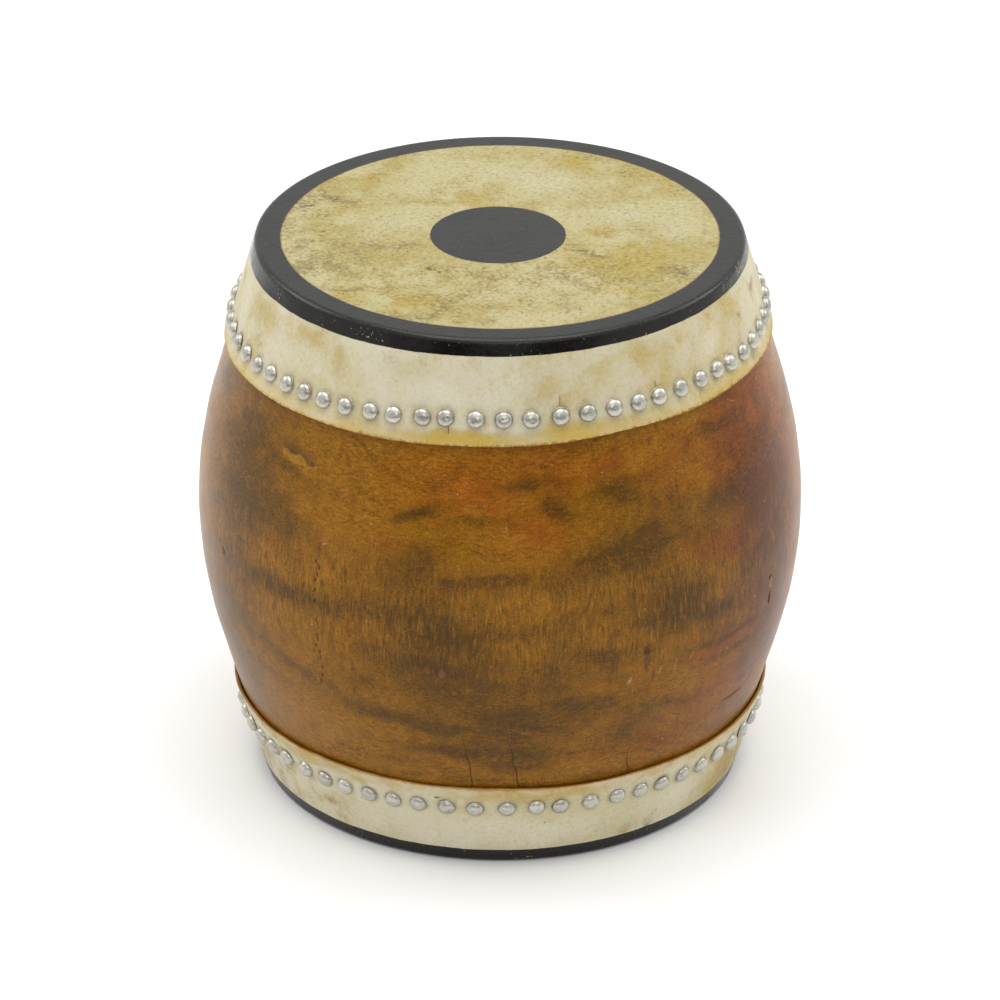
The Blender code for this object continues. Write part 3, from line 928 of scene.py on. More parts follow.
def build_head(name, node, side, row, row_depth, skirt_depth, slant, seed, material):
    """One rawhide head with its skirt, puckered at the tacks and cut by hand at its edge."""
    most_lift = SKIRT_LIFT if side > 0 else LOWER_SKIRT_LIFT
    profile, layers = hide_profile(row_depth, skirt_depth, most_lift)
    edge_height = HEIGHT - skirt_depth
    knife = trimmed_edge(ANGLES, seed)
    climb = []
    for radius, height in profile:
        depth = HEIGHT - height
        share = smoothstep(np.array(depth), 4 * MM, 12 * MM) * depth / skirt_depth
        near_edge = smoothstep(np.array(edge_height + 9 * MM - height), 0.0, 9 * MM)
        climb.append(slant * SIN * share + knife * near_edge)
    rings = turned_points(profile, climb)
    points = rings.reshape(-1, 3)
    heights = points[:, 2].copy()
    angles = np.tile(ANGLES, len(profile))
    layer = np.repeat(layers, SEGMENTS)
    radii = np.hypot(points[:, 0], points[:, 1])
    # Points that climbed follow the slope of the cone.
    radii -= (heights - np.repeat([height for _, height in profile], SEGMENTS)) * math.tan(CONE_ANGLE)
    outer = layer < 2
    on_skirt = smoothstep(HEIGHT - heights, 5 * MM, 14 * MM)
    fold = np.tile(pleats(ANGLES, seed + 7), len(profile))
    fold_share = on_skirt * (1.0 - smoothstep(HEIGHT - heights, 22 * MM, row_depth + 4 * MM))
    bulge = 0.22 * MM * fold * fold_share
    low = angles_noise(points, 38.0, seed) * 0.35 * MM + angles_noise(points, 120.0, seed + 2) * 0.12 * MM
    bulge += low * on_skirt
    # A darker ring in the hide round each tack.
    tack_halo = np.zeros(len(points))
    for angle, height in row:
        seen_height = height if side > 0 else HEIGHT - height
        across = angle_gap(angles, angle) * radii
        along = (heights - seen_height) / math.cos(CONE_ANGLE)
        away = np.sqrt(across ** 2 + along ** 2)
        bulge -= 0.24 * MM * np.exp(-(away / (6.5 * MM)) ** 2)
        tack_halo = np.maximum(tack_halo, 1.0 - smoothstep(away, 4.8 * MM, 9.5 * MM))
    lift = np.where(outer, bulge, 0.0)
    radii += lift * on_skirt
    ripple = angles_noise(points, 22.0, seed + 4) * 0.10 * MM
    heights += np.where(outer & (layer == 0), ripple * (1.0 - on_skirt) * smoothstep(radii, 0.0, 30 * MM), 0.0)
    points[:, 0] = radii * np.sin(angles)
    points[:, 1] = -radii * np.cos(angles)
    points[:, 2] = heights if side > 0 else HEIGHT - heights
    middle = len(points)
    centre_high = (0.0, 0.0, HEIGHT if side > 0 else 0.0)
    centre_low = (0.0, 0.0, HEIGHT - HIDE if side > 0 else HIDE)
    vertices = np.concatenate([points, np.array([centre_high, centre_low])])
    faces = [tuple(face) for face in ring_faces(len(profile), wrap=False)]
    last = (len(profile) - 1) * SEGMENTS
    for column in range(SEGMENTS):
        following = (column + 1) % SEGMENTS
        faces.append((middle, following, column))
        faces.append((middle + 1, last + column, last + following))
    item = make_object(name, vertices, faces)
    below = np.append(HEIGHT - heights, [0.0, HIDE])
    everywhere = np.append(angles, [0.0, 0.0])
    slope = PAINT_SLOPE if side > 0 else 0.0
    set_attribute(item, "paint_edge", (below - BAND_DEPTH + slope * np.sin(everywhere)) / MM)
    set_attribute(item, "depth", below)
    worn = sum(bad * np.exp(-(angle_gap(everywhere, math.radians(at)) / math.radians(wide)) ** 2)
               for at, wide, bad in CHIPPED)
    set_attribute(item, "worn", worn * smoothstep(below, 0.05 * MM, 0.8 * MM) * (below < 9 * MM))
    stain_attributes(item, vertices, everywhere, below, side, seed)
    set_attribute(item, "tack_halo", np.append(tack_halo * (layer < 1), [0.0, 0.0]))
    set_attribute(item, "cut", np.append(np.where(layer == 1, 1.0, 0.0), [0.0, 0.0]))
    to_edge = np.append((heights - edge_height - slant * np.sin(angles)) / MM, [99.0, 99.0])
    set_attribute(item, "to_edge", to_edge)
    item.data.materials.append(material)
    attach(item, "root")
    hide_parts(node)
    return item


def angles_noise(points, scale, seed):
    """Soft noise between about -1 and 1 at each point."""
    shift = Vector((seed * 3.1, seed * 1.7, seed * 0.9))
    return np.array([noise.noise(Vector(point) * scale + shift) for point in points])


# ---------------------------------------------------------------------------------------------
# Tacks
# ---------------------------------------------------------------------------------------------


TACK_SIDES = 32
FLANGE_RADIUS = 5.75 * MM
DOME_RADIUS = 5.40 * MM
DOME_RINGS = 10


def tack_outline():
    """The (radius, height) outline of a domed head: crown, dome, groove, flange and underside."""
    points = []
    for ring in range(DOME_RINGS + 1):
        lean = math.radians(80.0) * ring / DOME_RINGS
        height = 0.22 * MM + (TACK_HEAD_HEIGHT - 0.22 * MM) * math.cos(lean) ** 0.90
        points.append((DOME_RADIUS * math.sin(lean) / math.sin(math.radians(80.0)), height))
    points.append((DOME_RADIUS + 0.04 * MM, 0.24 * MM))
    points.append((FLANGE_RADIUS - 0.25 * MM, 0.38 * MM))
    points.append((FLANGE_RADIUS - 0.06 * MM, 0.30 * MM))
    points.append((FLANGE_RADIUS, 0.12 * MM))
    points.append((FLANGE_RADIUS - 0.10 * MM, 0.0))
    points.append((0.30 * FLANGE_RADIUS, 0.0))
    return points


def one_tack(outline, turns, draw):
    """The points of one tack head: hammered dome, and a flange that stands out to one side."""
    grid = [np.array([(0.0, 0.0, outline[0][1])])]
    slip_angle = draw.uniform(0.0, math.tau)
    slip = draw.uniform(0.0, 0.42) * MM
    oval = 1.0 + draw.normal(0.0, 0.015)
    for index, (radius, rise) in enumerate(outline[1:]):
        x = radius * np.cos(turns) * oval
        y = radius * np.sin(turns) / oval
        if index < DOME_RINGS:
            x = x + slip * math.cos(slip_angle) * (1.0 - 0.6 * rise / TACK_HEAD_HEIGHT)
            y = y + slip * math.sin(slip_angle) * (1.0 - 0.6 * rise / TACK_HEAD_HEIGHT)
        grid.append(np.stack([x, y, np.full(len(turns), rise)], 1))
    return hammer_marks(np.concatenate(grid), draw)


def hammer_marks(points, draw):
    """Flatten and dent one tack's dome as hammer blows do, differently each time."""
    blow = Vector((draw.normal(0.0, 0.12), draw.normal(0.0, 0.12), 1.0)).normalized()
    over = points @ np.array(blow) - TACK_HEAD_HEIGHT * draw.uniform(0.92, 1.02)
    points = points - np.outer(np.maximum(over, 0.0) * 0.85, np.array(blow))
    for _ in range(int(draw.integers(0, 4))):
        centre = draw.normal(0.0, 1.7 * MM, 2)
        size = draw.uniform(0.5, 1.4) * MM
        away = np.hypot(points[:, 0] - centre[0], points[:, 1] - centre[1])
        dent = draw.uniform(0.08, 0.34) * MM * (1.0 - smoothstep(away, 0.1 * size, 1.3 * size))
        points[:, 2] -= dent * (points[:, 2] > 1.2 * MM)
    return points


def build_tacks(name, row, side, seed, material):
    """A row of tacks as one piece: each is a little tilted, and most bear a hammer mark."""
    draw = np.random.default_rng(seed)
    outline = tack_outline()
    turns = np.arange(TACK_SIDES) * math.tau / TACK_SIDES
    vertices = []
    faces = []
    tint = []
    for angle, height in row:
        out = out_of_hide(angle, side)
        foot_radius = float(cone_radius(height - MIDDLE, HIDE + GAP)) - 0.05 * MM
        foot = Vector((foot_radius * math.sin(angle), -foot_radius * math.cos(angle), height))
        lean = Vector(draw.normal(0.0, 0.055, 3))
        turn = (out + lean).to_track_quat("Z", "Y").to_matrix()
        pose = np.array(turn @ Matrix.Rotation(draw.uniform(0.0, math.tau), 3, "Z"))
        points = one_tack(outline, turns, draw) @ pose.T + np.array(foot)
        start = len(vertices)
        vertices.extend(map(tuple, points))
        tint.extend([draw.uniform()] * len(points))
        faces.extend(tack_faces(start, len(outline)))
    item = make_object(name, vertices, faces, math.radians(50))
    set_attribute(item, "tint", tint)
    item.data.materials.append(material)
    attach(item, "root")
    return item


def tack_faces(start, rings):
    """The faces of one tack head whose points begin at start."""
    first = start + 1
    faces = []
    for column in range(TACK_SIDES):
        following = (column + 1) % TACK_SIDES
        faces.append((start, first + column, first + following))
        for ring in range(rings - 2):
            here = first + ring * TACK_SIDES
            there = here + TACK_SIDES
            faces.append((here + column, there + column, there + following, here + following))
    last = first + (rings - 2) * TACK_SIDES
    faces.append(tuple(last + column for column in range(TACK_SIDES)))
    return faces


# ---------------------------------------------------------------------------------------------
# Materials
# ---------------------------------------------------------------------------------------------


class Graph:
    """A material's node tree, with one short method for each kind of node it needs."""

    def __init__(self, name):
        self.material = bpy.data.materials.new(name)
        self.material.use_nodes = True
        self.tree = self.material.node_tree
        self.shader = self.tree.nodes["Principled BSDF"]
        self.place = self.node("ShaderNodeTexCoord").outputs["Object"]

    def node(self, kind, **settings):
        made = self.tree.nodes.new(kind)
        for key, value in settings.items():
            setattr(made, key, value)
        return made

    def feed(self, socket, value):
        """Link a socket to another, or give it a fixed value."""
        if isinstance(value, bpy.types.NodeSocket):
            self.tree.links.new(value, socket)
        elif value is not None:
            socket.default_value = value

    def math(self, operation, first, second=None, third=None, clamp=False):
        made = self.node("ShaderNodeMath", operation=operation, use_clamp=clamp)
        for socket, value in zip(made.inputs, (first, second, third)):
            self.feed(socket, value)
        return made.outputs[0]

    def vector_math(self, operation, first, second=None, scale=None):
        made = self.node("ShaderNodeVectorMath", operation=operation)
        self.feed(made.inputs[0], first)
        self.feed(made.inputs[1], second)
        self.feed(made.inputs[3], scale)
        return made.outputs[1 if operation in ("LENGTH", "DOT_PRODUCT") else 0]

    def centred(self, value, amount):
        """A noise of about 0.5, moved to 0 and made stronger."""
        return self.math("MULTIPLY", self.math("SUBTRACT", value, 0.5), amount)

    def total(self, *values):
        """The sum of several values."""
        result = values[0]
        for value in values[1:]:
            result = self.math("ADD", result, value)
        return result

    def bent(self, vector, scale, reach):
        """A place shifted by a soft noise, so that what is drawn with it looks bent."""
        field = self.noise(vector, scale, 2.0, 0.5, colour=True)
        shift = self.vector_math("SUBTRACT", field, (0.5, 0.5, 0.5))
        return self.vector_math("ADD", vector, self.vector_math("SCALE", shift, scale=reach))

    def strokes(self, radius, places):
        """1 on short thin strokes: degrees, height, half width, half height (mm) and lean."""
        x, y, z = self.split(self.place)
        turn = self.math("ARCTAN2", x, self.math("MULTIPLY", y, -1.0))
        result = None
        for degrees, height, half_width, half_height, lean in places:
            across = self.math("MULTIPLY", self.math("SUBTRACT", turn, math.radians(degrees)), radius / MM)
            up = self.math("SUBTRACT", self.math("DIVIDE", z, MM), height)
            slipped = self.math("SUBTRACT", across, self.math("MULTIPLY", up, lean))
            narrow = self.smooth(self.math("ABSOLUTE", slipped), half_width, 0.4 * half_width)
            short = self.smooth(self.math("ABSOLUTE", up), half_height, 0.6 * half_height)
            stroke = self.math("MULTIPLY", narrow, short)
            result = stroke if result is None else self.math("MAXIMUM", result, stroke)
        return result

    def split(self, vector):
        return self.feed_into("ShaderNodeSeparateXYZ", vector)

    def feed_into(self, kind, *values):
        made = self.node(kind)
        for socket, value in zip(made.inputs, values):
            self.feed(socket, value)
        return made.outputs

    def join(self, x, y, z):
        return self.feed_into("ShaderNodeCombineXYZ", x, y, z)[0]

    def stretched(self, x, y, z, vector=None):
        """The place on the object, scaled along each axis, so that a noise is drawn out."""
        return self.vector_math("MULTIPLY", vector or self.place, (x, y, z))

    def noise(self, vector, scale=1.0, detail=2.0, roughness=0.5, distortion=0.0, colour=False):
        made = self.node("ShaderNodeTexNoise")
        self.feed(made.inputs["Vector"], vector)
        made.inputs["Scale"].default_value = scale
        made.inputs["Detail"].default_value = detail
        made.inputs["Roughness"].default_value = roughness
        made.inputs["Distortion"].default_value = distortion
        return made.outputs["Color" if colour else "Fac"]

    def cells(self, vector, scale, randomness=1.0):
        made = self.node("ShaderNodeTexVoronoi")
        self.feed(made.inputs["Vector"], vector)
        made.inputs["Scale"].default_value = scale
        made.inputs["Randomness"].default_value = randomness
        return made.outputs["Distance"]

    def smooth(self, value, low, high, to_low=0.0, to_high=1.0):
        """A smooth step of value from low to high; low may be above high."""
        made = self.node("ShaderNodeMapRange", interpolation_type="SMOOTHSTEP")
        flipped = low > high
        self.feed(made.inputs["Value"], value)
        made.inputs["From Min"].default_value = min(low, high)
        made.inputs["From Max"].default_value = max(low, high)
        made.inputs["To Min"].default_value = to_high if flipped else to_low
        made.inputs["To Max"].default_value = to_low if flipped else to_high
        return made.outputs["Result"]

    def mix(self, share, first, second, blend="MIX"):
        made = self.node("ShaderNodeMix", data_type="RGBA", blend_type=blend)
        self.feed(made.inputs["Factor"], share)
        self.feed(made.inputs[6], first)
        self.feed(made.inputs[7], second)
        return made.outputs[2]

    def ramp(self, value, stops):
        made = self.node("ShaderNodeValToRGB")
        self.feed(made.inputs[0], value)
        elements = made.color_ramp.elements
        while len(elements) < len(stops):
            elements.new(0.5)
        for element, (position, colour) in zip(elements, stops):
            element.position = position
            element.color = colour
        return made.outputs["Color"]

    def attribute(self, name):
        return self.node("ShaderNodeAttribute", attribute_name=name).outputs["Fac"]

    def bump(self, height, distance, strength=1.0, normal=None):
        made = self.node("ShaderNodeBump")
        made.inputs["Strength"].default_value = strength
        made.inputs["Distance"].default_value = distance
        self.feed(made.inputs["Height"], height)
        self.feed(made.inputs["Normal"], normal)
        return made.outputs["Normal"]

    def finish(self, **inputs):
        """Feed the shader's sockets and return the material."""
        for name, value in inputs.items():
            self.feed(self.shader.inputs[name.replace("_", " ")], value)
        return self.material


def rgb(red, green, blue):
    """A linear colour from the 0 to 255 values that a screen shows."""
    channels = []
    for value in (red, green, blue):
        share = value / 255.0
        channels.append(share / 12.92 if share <= 0.04045 else ((share + 0.055) / 1.055) ** 2.4)
    return (*channels, 1.0)


def wood_material():
    """Varnished one-piece log: dark and golden patches, short upright fibres, pores."""
    g = Graph("varnished_log")
    z = g.split(g.place)[2]
    warped_place = g.bent(g.place, 24.0, 0.010)
    swept = g.bent(g.bent(g.place, 6.0, 0.17), 21.0, 0.022)

    # Fine structure: upright fibres at the belly, short level marks elsewhere, grain everywhere.
    fibre = g.noise(g.stretched(700.0, 700.0, 80.0, warped_place), 1.0, 2.0, 0.6)
    coarse_fibre = g.noise(g.stretched(250.0, 250.0, 42.0, warped_place), 1.0, 2.0, 0.55)
    lines = g.noise(g.stretched(240.0, 240.0, 760.0, g.bent(g.place, 60.0, 0.006)), 1.0, 2.0, 0.6)
    grain = g.noise(g.stretched(900.0, 900.0, 900.0), 1.0, 2.0, 0.7)
    streaks = g.noise(g.stretched(14.0, 14.0, 120.0, swept), 1.0, 4.0, 0.60)
    bands = g.noise(g.stretched(7.0, 7.0, 46.0, swept), 1.0, 3.0, 0.55)
    cloud = g.noise(g.stretched(34.0, 34.0, 60.0, warped_place), 1.0, 5.0, 0.65)
    torn_edge = g.noise(g.stretched(110.0, 110.0, 60.0, warped_place), 1.0, 4.0, 0.7)
    belly = g.smooth(g.math("ABSOLUTE", g.math("SUBTRACT", z, MIDDLE + 4 * MM)), 56 * MM, 18 * MM)
    away = g.math("SUBTRACT", 1.0, belly)

    # The dark patches break up along the fibres, the streaks and the clouds.
    torn = g.total(
        g.attribute("shade"),
        g.centred(cloud, 2.2),
        g.centred(bands, 1.8),
        g.centred(streaks, 2.0),
        g.centred(torn_edge, 1.4),
        g.math("MULTIPLY", g.centred(fibre, 1.6), belly),
        g.math("MULTIPLY", g.centred(coarse_fibre, 2.6), belly),
        g.math("MULTIPLY", g.centred(lines, 1.2), away),
    )
    dark = g.smooth(torn, 0.0, 1.35)
    tone = g.total(
        g.math("MULTIPLY", g.attribute("gold"), 0.16),
        g.math("MULTIPLY", dark, -0.42),
        0.63,
        g.centred(cloud, 0.30),
        g.centred(bands, 0.35),
        g.centred(streaks, 0.72),
        g.math("MULTIPLY", g.centred(fibre, 1.35), belly),
        g.math("MULTIPLY", g.centred(coarse_fibre, 0.80), belly),
        g.math("MULTIPLY", g.centred(lines, 0.95), away),
        g.centred(grain, 0.85),
    )
    golden = g.ramp(tone, (
        (0.0, rgb(70, 48, 18)), (0.30, rgb(91, 62, 14)), (0.60, rgb(131, 86, 14)),
        (0.82, rgb(153, 103, 24)), (1.0, rgb(174, 122, 40)),
    ))
    reddish = g.ramp(tone, (
        (0.0, rgb(68, 38, 14)), (0.30, rgb(96, 54, 13)), (0.60, rgb(137, 73, 14)),
        (0.82, rgb(159, 88, 25)), (1.0, rgb(180, 106, 42)),
    ))
    warm = g.total(g.attribute("warm"), g.centred(cloud, 1.2), g.centred(bands, 1.6), g.centred(torn_edge, 0.8))
    base = g.mix(g.smooth(warm, -0.15, 1.30), golden, reddish)

    # Healed knots, torn wood, pits and cracks.
    flecks = g.smooth(torn_edge, 0.40, 0.60)
    knot_wood = g.mix(flecks, rgb(150, 98, 48), rgb(124, 76, 36))
    base = g.mix(g.math("MULTIPLY", g.attribute("healed"), 0.75), base, knot_wood)
    base = g.mix(g.math("MULTIPLY", g.attribute("rim"), 0.65), base, rgb(84, 52, 32))
    torn_wood = g.mix(g.smooth(lines, 0.35, 0.65), rgb(136, 96, 28), rgb(160, 116, 38))
    base = g.mix(g.math("MULTIPLY", g.attribute("scar"), 0.80), base, torn_wood)
    # Painted shade: the undercut of the torn patch is darkened to dark brown, as its shadowed recess.
    recess_painted_shade = g.math("MULTIPLY", g.attribute("shaded_undercut"), g.smooth(torn_edge, 0.35, 0.65, 0.62, 0.86))
    base = g.mix(recess_painted_shade, base, rgb(78, 54, 22))
    knot = g.attribute("knot")
    base = g.mix(g.math("MULTIPLY", knot, 0.75), base, g.mix(flecks, rgb(60, 40, 28), rgb(96, 56, 34)))
    base = g.mix(g.math("MULTIPLY", g.attribute("crack"), 0.85), base, rgb(48, 31, 19))

    # Pale scratches, and specks of dust in the varnish.
    scratches = g.strokes(BELLY_RADIUS, SCRATCHES)
    broken = g.smooth(grain, 0.42, 0.56)
    base = g.mix(g.math("MULTIPLY", g.math("MULTIPLY", scratches, broken), 0.55), base, rgb(196, 172, 140))
    dust = g.smooth(g.cells(g.place, 62.0), 0.036, 0.022)
    base = g.mix(g.math("MULTIPLY", dust, 0.60), base, rgb(206, 192, 160))

    rough = g.smooth(cloud, 0.3, 0.7, 0.34, 0.28)
    waves = g.noise(g.stretched(30.0, 30.0, 60.0), 1.0, 3.0, 0.6)
    normal = g.bump(waves, 0.5 * MM, 0.5)
    normal = g.bump(g.math("ADD", grain, g.math("MULTIPLY", lines, 0.6)), 0.04 * MM, 0.4, normal)
    g.shader.inputs["IOR"].default_value = 1.25
    return g.finish(Base_Color=base, Roughness=rough, Normal=normal)


def hide_material(name, side):
    """Rawhide with stains, pores, grime and darker rings round the tacks, painted black at the rim and in the
    middle.
    """
    g = Graph(name)
    depth = g.attribute("depth")
    skirt = g.smooth(depth, 1 * MM, 9 * MM)
    cloud = g.noise(g.place, 17.0, 6.0, 0.65, 0.3)
    mottle = g.noise(g.place, 70.0, 5.0, 0.70)
    speckle = g.noise(g.place, 360.0, 3.0, 0.7)

    # Pale skin, clouded with ochre, then dirty.
    clouded = g.smooth(g.math("ADD", cloud, g.centred(mottle, 0.5)), 0.38, 0.64)
    face = g.mix(clouded, rgb(170, 161, 118), rgb(155, 140, 80))
    side_hide = g.mix(clouded, rgb(207, 199, 173), rgb(195, 184, 143))
    base = g.mix(skirt, face, side_hide)
    pale = g.mix(skirt, rgb(178, 172, 140), rgb(222, 217, 200))
    ochre = g.mix(skirt, rgb(158, 137, 56), rgb(186, 160, 88))
    grime = g.mix(skirt, rgb(112, 99, 64), rgb(142, 128, 94))
    spread = g.math("ADD", g.centred(mottle, 2.6), g.centred(cloud, 1.4))
    tanned = g.math("MULTIPLY", g.smooth(g.attribute("ochre"), 0.0, 0.9, 0.0, 0.60), skirt)
    base = g.mix(tanned, base, rgb(172, 157, 108))
    base = g.mix(g.math("MULTIPLY", soaked(g, "pale", spread, 0.1, 1.1), 0.75), base, pale)
    base = g.mix(g.math("MULTIPLY", soaked(g, "ochre", spread, 0.1, 1.2), 0.75), base, ochre)
    flecking = g.math("MULTIPLY", g.centred(speckle, 3.2), g.smooth(skirt, 0.0, 1.0, 1.0, 0.30))
    flecked = g.math("ADD", spread, flecking)
    base = g.mix(g.math("MULTIPLY", soaked(g, "grime", flecked, 0.15, 1.3), 0.75), base, grime)
    marks = soaked(g, "mark", g.centred(speckle, 2.0), 0.45, 0.85)
    base = g.mix(g.math("MULTIPLY", marks, 0.80), base, rgb(86, 62, 26))

    # The trimmed edge: varnish that soaked in, mustard yellow, with a brown fringe.
    to_edge = g.attribute("to_edge")
    stain_noise = g.noise(g.place, 34.0, 4.0, 0.65)
    soak = g.math("MULTIPLY", g.attribute("ochre"), 4.0 if side > 0 else 1.0)
    reach = g.total(to_edge, g.centred(stain_noise, -13.0), g.math("MULTIPLY", soak, -1.0))
    yellow = g.math("MULTIPLY", g.smooth(reach, 11.0 if side > 0 else 8.0, 0.0), 0.42)
    rim_line = g.smooth(g.math("ADD", to_edge, g.centred(stain_noise, -5.0)), 4.5 if side > 0 else 2.0, 0.5)
    yellow = g.math("MAXIMUM", yellow, g.math("MULTIPLY", g.smooth(reach, 3.0, -2.0), 0.80))
    yellow = g.math("MAXIMUM", yellow, g.math("MULTIPLY", rim_line, 0.80))
    varnish = rgb(190, 158, 60) if side > 0 else rgb(182, 140, 68)
    base = g.mix(yellow, base, varnish)
    ragged_edge = g.math("SUBTRACT", to_edge, g.centred(speckle, 5.0))
    fringe = g.smooth(ragged_edge, 1.2 if side > 0 else 1.5, 0.2)
    base = g.mix(g.math("MULTIPLY", fringe, 0.62 if side > 0 else 0.36), base, rgb(112, 72, 26))

    # Fine speckle, pores and hair roots.
    specks = g.math("MULTIPLY", g.smooth(speckle, 0.50, 0.72), g.smooth(skirt, 0.0, 1.0, 0.50, 0.14))
    base = g.mix(specks, base, rgb(118, 102, 66))
    base = g.mix(g.smooth(speckle, 0.46, 0.28, 0.0, 0.20), base, rgb(214, 208, 184))
    roots = g.cells(g.stretched(520.0, 520.0, 400.0), 1.0)
    hairy = g.smooth(g.noise(g.place, 22.0, 3.0, 0.6), 0.38, 0.58, 0.22, 1.00)
    hairy = g.math("MULTIPLY", hairy, g.smooth(skirt, 0.0, 1.0, 1.0, 0.42))
    root = g.math("MULTIPLY", g.smooth(roots, 0.24, 0.08), hairy)
    base = g.mix(root, base, rgb(104, 88, 56))
    pepper = g.smooth(g.cells(g.place, 300.0), 0.20, 0.08)
    peppered = g.smooth(g.math("ADD", mottle, g.math("MULTIPLY", g.attribute("grime"), 0.18)), 0.46, 0.62)
    pepper = g.math("MULTIPLY", pepper, g.math("MULTIPLY", peppered, g.smooth(skirt, 0.0, 1.0, 1.0, 0.22)))
    base = g.mix(pepper, base, rgb(84, 68, 44))
    # A darker ring round each tack, broken up by the mottle.
    tack_halo = g.math("MULTIPLY", g.attribute("tack_halo"), g.smooth(mottle, 0.35, 0.7, 0.08, 0.50))
    base = g.mix(tack_halo, base, rgb(142, 118, 66))
    cut_hide = g.mix(g.smooth(stain_noise, 0.42, 0.58), rgb(178, 134, 66), rgb(146, 92, 40))
    base = g.mix(g.math("MULTIPLY", g.attribute("cut"), 0.85), base, cut_hide)
    if side > 0:
        splits = g.math("MULTIPLY", g.strokes(CONE_TOP_RADIUS, HIDE_SPLITS), 0.75)
        base = g.mix(splits, base, rgb(58, 42, 26))

    # Black paint: its edges, brown where it bled, and chips down to the hide.
    ragged = g.noise(g.place, 60.0, 4.0, 0.6)
    x, y = g.split(g.place)[:2]
    radius = flat_length(g, x, y)
    inner = g.math("ADD", radius, g.centred(ragged, 1.0 * MM))
    outer = g.math("ADD", g.attribute("paint_edge"), g.centred(ragged, 1.4))
    band = g.math(
        "MULTIPLY",
        g.smooth(inner, BAND_INNER_RADIUS - 0.12 * MM, BAND_INNER_RADIUS + 0.12 * MM),
        g.smooth(outer, 0.2, -0.2),
    )
    bled = g.math(
        "MULTIPLY",
        g.smooth(inner, BAND_INNER_RADIUS - 1.1 * MM, BAND_INNER_RADIUS - 0.3 * MM),
        g.smooth(depth, 1.2 * MM, 0.6 * MM),
    )
    base = g.mix(g.math("MULTIPLY", bled, 0.60), base, rgb(96, 56, 34))
    off_centre = g.split(g.vector_math("SUBTRACT", g.place, PATCH_CENTRE))
    patch_reach = flat_length(g, off_centre[0], off_centre[1])
    patch_reach = g.math("ADD", patch_reach, g.centred(ragged, 1.0 * MM))
    centre = g.smooth(patch_reach, PATCH_RADIUS + 0.15 * MM, PATCH_RADIUS - 0.15 * MM)
    paint = g.math("MAXIMUM", band, centre) if side > 0 else band
    crumbs = g.noise(g.place, 520.0, 3.0, 0.75)
    worn = g.math("MULTIPLY", g.attribute("worn"), g.smooth(mottle, 0.42, 0.60, 0.02, 0.15))
    chips = g.smooth(g.math("ADD", crumbs, worn), 0.695, 0.715)
    paint = g.math("MULTIPLY", paint, g.math("SUBTRACT", 1.0, chips))
    # Lit and shaded copies of one black paint: the flat top is lighter as painted light from above, the side of
    # the band darker as painted shade.
    lit_flat_paint = g.mix(g.smooth(crumbs, 0.5, 0.75), rgb(20, 20, 16), rgb(38, 38, 34))
    shaded_side_paint = g.mix(g.smooth(crumbs, 0.5, 0.75), rgb(12, 8, 5), rgb(30, 25, 20))
    lit_and_shaded_coat = g.mix(g.smooth(depth, 0.3 * MM, 3.0 * MM), lit_flat_paint, shaded_side_paint)
    base = g.mix(paint, base, lit_and_shaded_coat)

    smudge = g.smooth(g.noise(g.place, 36.0, 4.0, 0.6), 0.35, 0.65, 0.34, 0.54)
    glossy = g.math("MULTIPLY", paint, smudge)
    rough = g.math("SUBTRACT", g.smooth(speckle, 0.3, 0.7, 0.60, 0.70), glossy)
    normal = g.bump(speckle, 0.12 * MM, 0.5)
    normal = g.bump(g.math("MULTIPLY", root, -1.0), 0.10 * MM, 0.6, normal)
    normal = g.bump(paint, 0.15 * MM, 0.6, normal)
    brushed = g.math("MULTIPLY", g.noise(g.stretched(210.0, 210.0, 380.0), 1.0, 4.0, 0.6), paint)
    normal = g.bump(brushed, 0.26 * MM, 0.7, normal)
    g.shader.inputs["IOR"].default_value = 1.42
    return g.finish(Base_Color=base, Roughness=rough, Normal=normal)


def soaked(g, attribute, spread, low, high):
    """A stain whose edge a noise has torn."""
    return g.smooth(g.math("ADD", g.attribute(attribute), spread), low, high)


def flat_length(g, x, y):
    """The length of a flat vector."""
    return g.math("SQRT", g.math("ADD", g.math("MULTIPLY", x, x), g.math("MULTIPLY", y, y)))


def tack_material():
    """Satin nickel, dulled and scratched."""
    g = Graph("satin_nickel")
    tint = g.attribute("tint")
    smear = g.noise(g.place, 420.0, 3.0, 0.6)
    base = g.mix(tint, rgb(180, 178, 167), rgb(198, 196, 185))
    base = g.mix(g.smooth(smear, 0.45, 0.72, 0.0, 0.45), base, rgb(136, 132, 120))
    rough = g.math("ADD", g.math("MULTIPLY", smear, 0.20), 0.24)
    normal = g.bump(g.noise(g.place, 900.0, 2.0, 0.6), 0.02 * MM, 0.4)
    return g.finish(Base_Color=base, Metallic=1.0, Roughness=rough, Normal=normal)


def floor_material():
    """White paper, with painted shade that darkens it to grey far in front of the drum."""
    g = Graph("white_paper")
    grain = g.noise(g.place, 300.0, 2.0, 0.5)
    base = g.mix(grain, (0.94, 0.94, 0.94, 1.0), (0.96, 0.96, 0.96, 1.0))
    y = g.split(g.place)[1]
    # Painted shade: the paper fades to grey far in front of the drum.
    base = g.mix(g.smooth(y, -0.40, -2.4), base, (0.60, 0.60, 0.60, 1.0))
    return g.finish(Base_Color=base, Roughness=0.9)


# ---------------------------------------------------------------------------------------------
# Stage
# ---------------------------------------------------------------------------------------------


def build_floor():
    """A wide sheet of white paper under the drum."""
    half = 6.0
    corners = [(-half, -half, 0.0), (half, -half, 0.0), (half, half, 0.0), (-half, half, 0.0)]
    floor = make_object("floor", corners, [(0, 1, 2, 3)])
    floor.location.z = -0.2 * MM
    floor.data.materials.append(floor_material())


